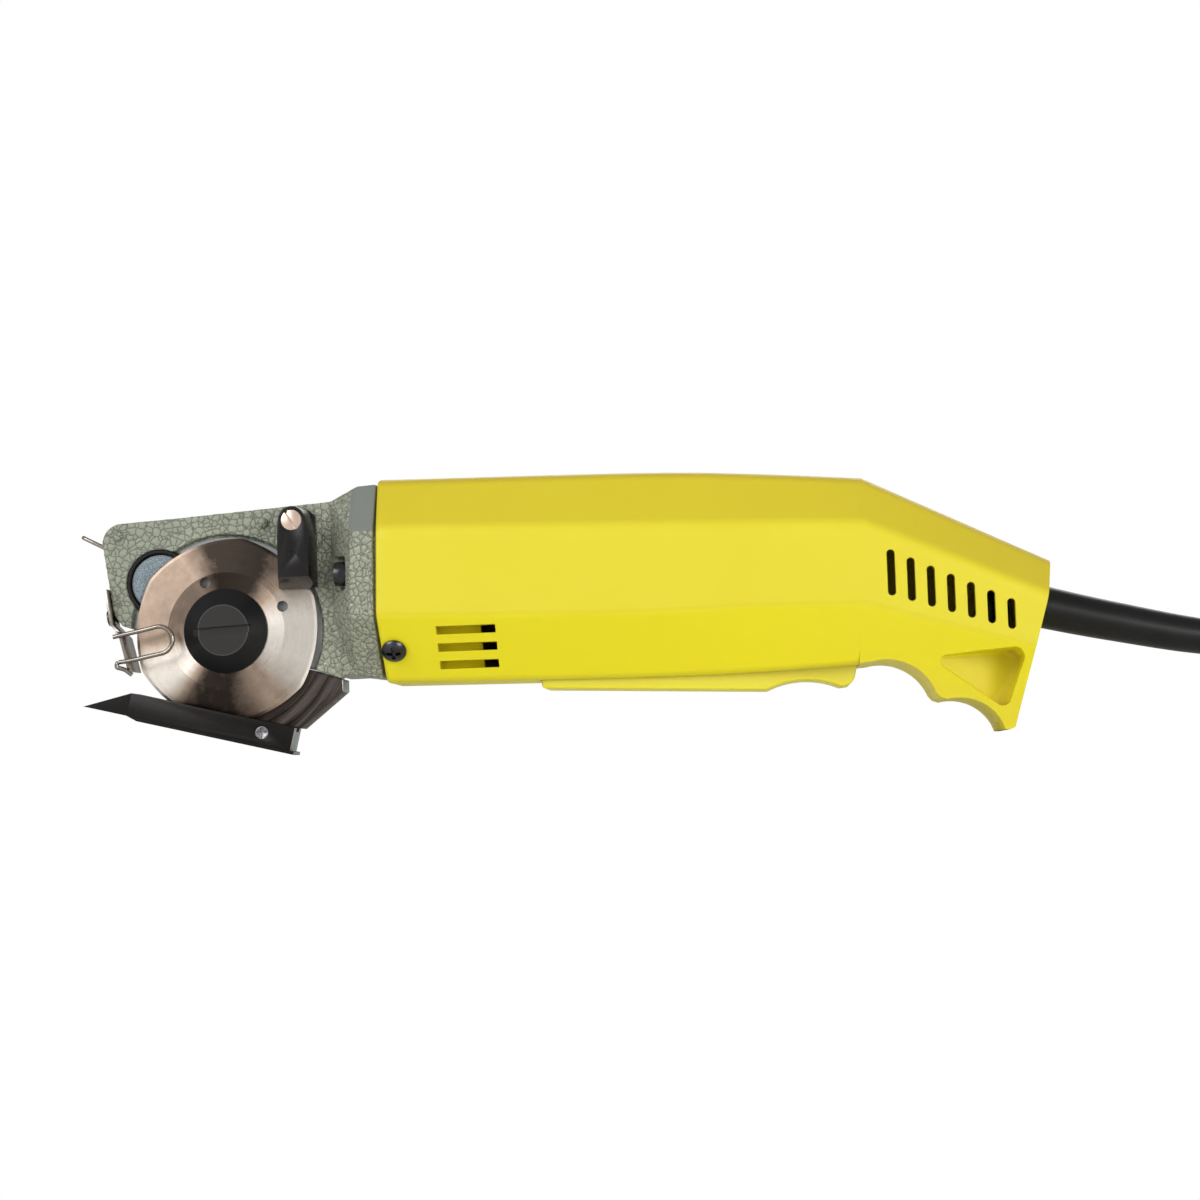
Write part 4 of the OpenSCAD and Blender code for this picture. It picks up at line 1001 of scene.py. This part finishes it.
class CUTTER_OT_handle(bpy.types.Operator):
    """Two moulded shells with vents, grip scallops and side pockets"""

    bl_idname = "cutter.handle"
    bl_label = "Handle shells"

    def execute(self, context):
        sizes = context.scene.cutter_sizes
        shell = handle_solid(sizes.crease_round)
        carve(shell, handle_room(sizes.shell_wall))
        cutters = vent_cutters() + [pocket_cutter(-1), pocket_cutter(1)]
        cutters.append(slab("trigger_gap", [(67, 10), (154.5, 10), (154.5, 24), (67, 24)], -11.4, 11.4))
        dip = radians(104)
        cord_heading = Vector((sin(dip), 0, cos(dip)))
        cutters.append(bar_along("cord_hole", Vector((197, 0, 35.7)), cord_heading, 6.2, 0, 20, 48))
        for side in (-1, 1):
            origin, heading = low_screw_frame(side)
            cutters.append(bar_along("screw_hole", origin, heading, 1.9, -15, 15))
        for cutter in cutters:
            carve(shell, cutter)
        halves = (("near_handle_shell", "near_shell", -60, 0), ("far_handle_shell", "far_shell", 0, 60))
        for name, node, low, high in halves:
            half = shell.copy()
            half.data = shell.data.copy()
            half.name = name
            context.scene.collection.objects.link(half)
            carve(half, slab("half", [(0, -10), (230, -10), (230, 90), (0, 90)], low, high), "INTERSECT")
            if low == 0:
                for x, z in FAR_SCREWS:
                    carve(half, round_bar("counterbore", x, z, 3.0, 8, 60))
            soften(half, sizes.edge_round, 2, 42)
            settle(half)
            smooth(half, 30)
            weigh = half.modifiers.new("even normals", "WEIGHTED_NORMAL")
            weigh.keep_sharp = True
            settle(half)
            place(half, "machine", "handle_plastic", node)
        bpy.data.objects.remove(shell)
        self.baffle()
        return {"FINISHED"}

    def baffle(self):
        """Inner plate that turns the air behind the front vents, parallel to the lower facet."""
        corners = []
        for z, deep in ((BAFFLE_TOP, 4.3), (BAFFLE_FOOT, 4.3), (BAFFLE_FOOT, 5.5), (BAFFLE_TOP, 5.5)):
            y = -WIDE + (WIDE - LOW_W) * (36.5 - z) / 17.7
            corners.append((y + 0.806 * deep, z + 0.592 * deep))
        plate = lofted("vent_baffle", [[(x, y, z) for y, z in corners] for x in BAFFLE_X])
        soften(plate, 0.3)
        settle(plate)
        place(plate, "machine", "handle_plastic")


PADDLE = [(67.6, 25), (67.6, 16.2), (68.4, 15.9), (128.2, 13.3), *arc(139.4, -8, 23.6, 115.5, 65.5, 16),
          (151.4, 13.7), (152.6, 14.5), (153.2, 15.8), (153.9, 19), (153.9, 22.6), (77.5, 22.6), (77.5, 25)]
PADDLE_ROOMS = ([(70, 18.3), (120, 16.2), (120, 30), (70, 30)],
                [(128, 17.6), (139, 18.2), (151, 17), (151, 30), (128, 30)])


class CUTTER_OT_trigger(bpy.types.Operator):
    """Trigger paddle with its pin and the switch behind it"""

    bl_idname = "cutter.trigger"
    bl_label = "Trigger and switch"

    def execute(self, context):
        paddle = slab("trigger_lever", PADDLE, -11, 11)
        soften(paddle, 0.9, 3, 30)
        settle(paddle)
        for room in PADDLE_ROOMS:
            carve(paddle, slab("paddle_room", room, -8.8, 8.8))
        smooth(paddle)
        place(paddle, "trigger", "paddle_plastic", "trigger_paddle")
        keep_node("trigger_pin", "bright_steel")
        keep_node("switch_body", "black_plastic")
        keep_node("switch_plunger", "red_plastic")
        spring = place(copy_of("switch_spring", "plunger_spring"), "machine", "bright_steel", "switch_spring")
        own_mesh(spring)
        return {"FINISHED"}


# ---------------------------------------------------------------- gear head


# The blade's recess is bare metal, and the top of the flange has fine enamel
RECESS_R, RECESS_END_X = 26.2, 12.5
RECESS_FLOOR, RECESS_LIP = 11, 13.4
FLANGE_X, FLANGE_Z = 17.3, 59.8
STUDS = (("casting_stud_left", -48.3, 62.2), ("casting_stud_right", -7.6, 64.2))
STUD_BACK = -13.9
STUD_PROFILE = [(0.01, STUD_BACK), (1.45, STUD_BACK), (1.45, STUD_BACK - 1.2), (1.15, STUD_BACK - 1.65),
                (0.6, STUD_BACK - 1.9), (0.01, STUD_BACK - 1.95)]


class CUTTER_OT_gear_head(bpy.types.Operator):
    """Cast gear head with its cover, bushes and bearings"""

    bl_idname = "cutter.gear_head"
    bl_label = "Gear head"

    def execute(self, context):
        head = cast_copy("gear_head", "cast_gear_head", context.scene.cutter_sizes.casting_grid, 3)
        for name in ("head_paint", "recess_metal", "flange_enamel"):
            head.data.materials.append(FINISHES[name])
        for face in head.data.polygons:
            x, y, z = face.center.x / MM + FRAME_X, face.center.y / MM, face.center.z / MM
            reach = sqrt((x - AXIS_X) ** 2 + (z - AXIS_Z) ** 2)
            if reach < RECESS_R and RECESS_FLOOR < -y < RECESS_LIP and x < RECESS_END_X:
                face.material_index = 1
            elif x > FLANGE_X and z > FLANGE_Z:
                face.material_index = 2
        place(head, "machine", "head_paint", "gear_head")
        rounded_copy("gear_cover", "gearbox_lid", "machine", "head_paint", 0.5)
        rounded_copy("cover_screws", "gearbox_lid_screws", "machine", "bright_steel", 0.15)
        for name, x, z in STUDS:
            stud = turned(name, STUD_PROFILE, x, z)
            smooth(stud, 40)
            place(stud, "machine", "head_paint")
        for node in ("front_bearing", "rear_bearing"):
            keep_node(node, "bright_steel")
        for node in ("spindle_near_bush", "spindle_rear_bush"):
            keep_node(node, "bronze")
        return {"FINISHED"}


# ---------------------------------------------------------------- blade

CORNERS = (20, 78, 144, 203, 262, 322, 380)
BLADE_FRONT, BLADE_BACK = -15.8, -14.6
# Radius and y of each ring; a radius of zero or less is measured inward from the edge
BLADE_RINGS = ((4.01, BLADE_BACK), (4.01, BLADE_FRONT), (16.2, BLADE_FRONT), (-0.75, -14.86),
               (0, BLADE_BACK - 0.06), (0, BLADE_BACK))
BLADE_HOLES = ((-23.9, 48.2), (-2.6, 40.9))
NUT_PROFILE = [(0.01, BLADE_FRONT), (11.5, BLADE_FRONT), (11.6, -15.9), (11.6, -16.4), (11.45, -16.55),
               (7.15, -20.1), (6.9, -20.3), (0.01, -20.3)]
NUT_SLOT, NUT_SLOT_FLOOR, NUT_SLOT_TILT = (12, 1.05), -19.15, radians(2.5)


def blade_reach(angle):
    """Radius of the bowed six-sided edge at an angle in degrees."""
    turn = angle if angle >= CORNERS[0] else angle + 360
    for low, high in zip(CORNERS, CORNERS[1:]):
        if low <= turn <= high:
            t = 2 * (turn - low) / (high - low) - 1
            return 25 + 0.9 * t * t
    raise ValueError("no side at that angle")


def blade_ring(reach, y, sides=240):
    ring = []
    for k in range(sides):
        turn = 360 * k / sides
        r = reach if reach > 0 else blade_reach(turn) + reach
        ring.append((AXIS_X + r * cos(radians(turn)), y, AXIS_Z + r * sin(radians(turn))))
    return ring


class CUTTER_OT_blade(bpy.types.Operator):
    """Blade with its honed edge, clamp nut, spindle and worm wheel"""

    bl_idname = "cutter.blade"
    bl_label = "Blade"

    def execute(self, context):
        blade = lofted("cutting_blade", [blade_ring(*ring) for ring in BLADE_RINGS], closed=True)
        for x, z in BLADE_HOLES:
            carve(blade, round_bar("blade_hole", x, z, 1.5, -20, 0, 40))
        mark = [(-18.6, 18.7), (-18.25, 18.7), (-18.25, 21.6), (-18.6, 21.6)]
        carve(blade, slab("setting_mark", mark, -16.5, -15.66))
        smooth(blade, 3)
        place(blade, "blade_drive", "blade_steel", "round_blade")
        nut = turned("slotted_clamp_nut", NUT_PROFILE)
        (reach, half), tilt = NUT_SLOT, NUT_SLOT_TILT
        slot = [(AXIS_X + u * cos(tilt) - w * sin(tilt), AXIS_Z + u * sin(tilt) + w * cos(tilt))
                for u, w in ((-reach, -half), (reach, -half), (reach, half), (-reach, half))]
        carve(nut, slab("slot", slot, -21, NUT_SLOT_FLOOR))
        smooth(nut, 12)
        place(nut, "blade_drive", "black_oxide", "blade_clamp_nut", finish_name="nut_black")
        keep_node("blade_spindle", "bright_steel")
        keep_node("blade_backing_flange", "hardened_steel")
        rounded_copy("worm_wheel", "bronze_worm_wheel", "blade_drive", "bronze", 0.12)
        return {"FINISHED"}


# ---------------------------------------------------------------- sharpener, guards, foot

STONE_X, STONE_Z, STONE_R = -37.0, 48.8, 7.8
STONE_PROFILE = [(0.01, -13.6), (STONE_R - 0.5, -13.6), (STONE_R, -13.1), (STONE_R, -9.6), (0.01, -9.6)]
RING_PROFILE = [(8.15, -9.2), (8.15, -13.5), (8.4, -13.75), (9.1, -13.75), (9.28, -13.5), (9.28, -9.2)]
PIVOT_X, PIVOT_Z = -32.6, 45.3
LOOP_START, LOOP_SWING = 15.2, radians(11)
LOOP_LEGS, LOOP_END, LOOP_Y, LOOP_R = (-1.5, 4, 9, 14, 17.6), 17.6, -2, 1.1


def loop_point(u, y):
    """A point of the finger loop, u along it from where it leaves the lever's plate."""
    lean = atan2(STONE_Z - PIVOT_Z, STONE_X - PIVOT_X)
    tip = lean + LOOP_SWING
    return (PIVOT_X + LOOP_START * cos(lean) + u * cos(tip), y,
            PIVOT_Z + LOOP_START * sin(lean) + u * sin(tip))


class CUTTER_OT_sharpener(bpy.types.Operator):
    """Sharpening stone in its ring, with the bracket and finger lever"""

    bl_idname = "cutter.sharpener"
    bl_label = "Sharpening stone"

    def execute(self, context):
        stone = turned("grit_stone", STONE_PROFILE, STONE_X, STONE_Z, 64)
        smooth(stone, 30)
        place(stone, "stone_slide", "grit", "sharpening_stone")
        ring = turned("stone_ring", RING_PROFILE, STONE_X, STONE_Z, 64, closed=True)
        smooth(ring, 40)
        place(ring, "machine", "black_plastic")
        keep_node("stone_rod", "bright_steel")
        rounded_copy("stone_bracket", "stone_carrier", "machine", "hardened_steel", 0.25)
        keep_node("lever_pin", "bright_steel")
        self.lever()
        return {"FINISHED"}

    def lever(self):
        plate = copy_of("stone_lever", "lever_plate")
        cut = slab("loop_off", [(-120, 20), (-44.4, 20), (-44.4, 90), (-120, 90)], -30, 30)
        carve(plate, cut)
        soften(plate, 0.2)
        settle(plate)
        smooth(plate)
        out = [loop_point(u, LOOP_Y - LOOP_R) for u in LOOP_LEGS]
        turn = [loop_point(LOOP_END + LOOP_R * sin(radians(a)), LOOP_Y - LOOP_R * cos(radians(a)))
                for a in range(20, 180, 20)]
        back = [loop_point(u, LOOP_Y + LOOP_R) for u in reversed(LOOP_LEGS)]
        loop = route_curve("lever_finger_loop", out + turn + back, 0.6, 5)
        loop.data.materials.append(FINISHES["wire_nickel"])
        place(loop, "stone_handle", "wire_nickel")
        place(plate, "stone_handle", "wire_nickel", "stone_lever")


HOOP_Y = -20.85
STAND_END_X = 12.6


class CUTTER_OT_guards(bpy.types.Operator):
    """Guard block over the blade's back and the sliding wire guard in front"""

    bl_idname = "cutter.guards"
    bl_label = "Guards"

    def execute(self, context):
        rounded_copy("guard_block", "blade_guard_block", "machine", "black_plastic", 0.35,
                     segments=3, angle=28)
        rounded_copy("guard_block_screw", "guard_block_fastener", "machine", "copper_plate", 0.15)
        rounded_copy("guard_strip", "sliding_strip", "finger_guard", "wire_nickel", 0.2)
        hoop = [(-48.6, 33.9), (-44.4, 34.7), (-40.2, 35.5), *arc(-35.9, 32.6, 3.73, 100, -80, 18),
                (-39.2, 28.2), (-43.2, 27.4), *arc(-46.9, 26.1, 0.85, 95, 225, 6), (-45.6, 24.9),
                (-43.6, 23.4)]
        wire = route_curve("guard_hoop", smooth_route([(x, HOOP_Y, z) for x, z in hoop], 3), 0.62, 6)
        wire.data.materials.append(FINISHES["wire_nickel"])
        place(wire, "finger_guard", "wire_nickel", "guard_wire")
        rounded_copy("guard_screw", "guard_fastener", "machine", "dark_screw", 0.12)
        return {"FINISHED"}


class CUTTER_OT_foot(bpy.types.Operator):
    """Sloping foot with its side bar, screw and bowed stand"""

    bl_idname = "cutter.foot"
    bl_label = "Foot"

    def execute(self, context):
        self.bare_end(rounded_copy("foot_base", "foot_sole", "machine", "black_oxide", 0.12))
        self.bare_end(rounded_copy("foot_side_bar", "foot_bar", "machine", "black_oxide", 0.18))
        rounded_copy("foot_screw", "foot_fastener", "machine", "black_oxide", 0.12, "hardened_steel")
        self.bare_end(rounded_copy("foot_stand", "bowed_stand", "machine", "black_oxide", 0.2, "stand_oxide"))
        return {"FINISHED"}

    def bare_end(self, piece):
        """Cut ends that face the handle, and the stand's rear end, are left bright."""
        piece.data.materials.append(FINISHES["bare_end"])
        for face in piece.data.polygons:
            stand_end = piece.name == "bowed_stand" and face.center.x / MM + FRAME_X > STAND_END_X
            if face.normal.x > 0.85 or stand_end:
                face.material_index = 1


# ---------------------------------------------------------------- motor and screws


class CUTTER_OT_motor(bpy.types.Operator):
    """Rotor, stator, brushes and worm inside the handle"""

    bl_idname = "cutter.motor"
    bl_label = "Motor"

    def execute(self, context):
        inside = {
            "motor_shaft": "bright_steel", "worm": "hardened_steel", "armature_core": "laminations",
            "armature_windings": "copper_wire", "commutator": "copper_bars", "cooling_fan": "black_plastic",
            "stator_core": "laminations", "field_coils": "copper_wire", "brush_holders": "bronze",
            "carbon_brushes": "carbon", "brush_springs": "bright_steel",
        }
        for node, slot in inside.items():
            keep_node(node, slot)
        return {"FINISHED"}


class CUTTER_OT_screws(bpy.types.Operator):
    """Shell, front and flange screws, and the cord's clamp"""

    bl_idname = "cutter.screws"
    bl_label = "Screws and cord clamp"

    def execute(self, context):
        rounded_copy("shell_screws", "handle_screws", "machine", "dark_screw", 0.15)
        rounded_copy("front_screws", "front_facet_screws", "machine", "dark_screw", 0.15)
        rounded_copy("flange_screws", "head_flange_screws", "machine", "dark_screw", 0.15)
        rounded_copy("cord_clamp", "cord_clamp_bar", "machine", "black_plastic", 0.4)
        keep_node("clamp_screws", "bright_steel")
        return {"FINISHED"}


# ---------------------------------------------------------------- panel and main

STEPS = (CUTTER_OT_stage, CUTTER_OT_cord, CUTTER_OT_handle, CUTTER_OT_trigger, CUTTER_OT_gear_head,
         CUTTER_OT_blade, CUTTER_OT_sharpener, CUTTER_OT_guards, CUTTER_OT_foot, CUTTER_OT_motor,
         CUTTER_OT_screws)


class CUTTER_PT_sidebar(bpy.types.Panel):
    """Sizes, colours and steps of the cloth cutter"""

    bl_label = "Cloth cutter"
    bl_idname = "CUTTER_PT_sidebar"
    bl_space_type = "VIEW_3D"
    bl_region_type = "UI"
    bl_category = "Cutter"

    def draw(self, context):
        sizes, looks = context.scene.cutter_sizes, context.scene.cutter_looks
        for group in (sizes, looks):
            for title in group.__annotations__:
                self.layout.prop(group, title)
        for step in STEPS:
            self.layout.operator(step.bl_idname)


CLASSES = (CutterSizes, CutterLooks, *STEPS, CUTTER_PT_sidebar)


def register():
    for made in CLASSES:
        bpy.utils.register_class(made)
    bpy.types.Scene.cutter_sizes = PointerProperty(type=CutterSizes)
    bpy.types.Scene.cutter_looks = PointerProperty(type=CutterLooks)


def unregister():
    del bpy.types.Scene.cutter_looks, bpy.types.Scene.cutter_sizes
    for made in reversed(CLASSES):
        bpy.utils.unregister_class(made)


def main():
    register()
    make_finishes()
    for step in STEPS:
        family, action = step.bl_idname.split(".")
        getattr(getattr(bpy.ops, family), action)()


if __name__ == "__main__":
    main()
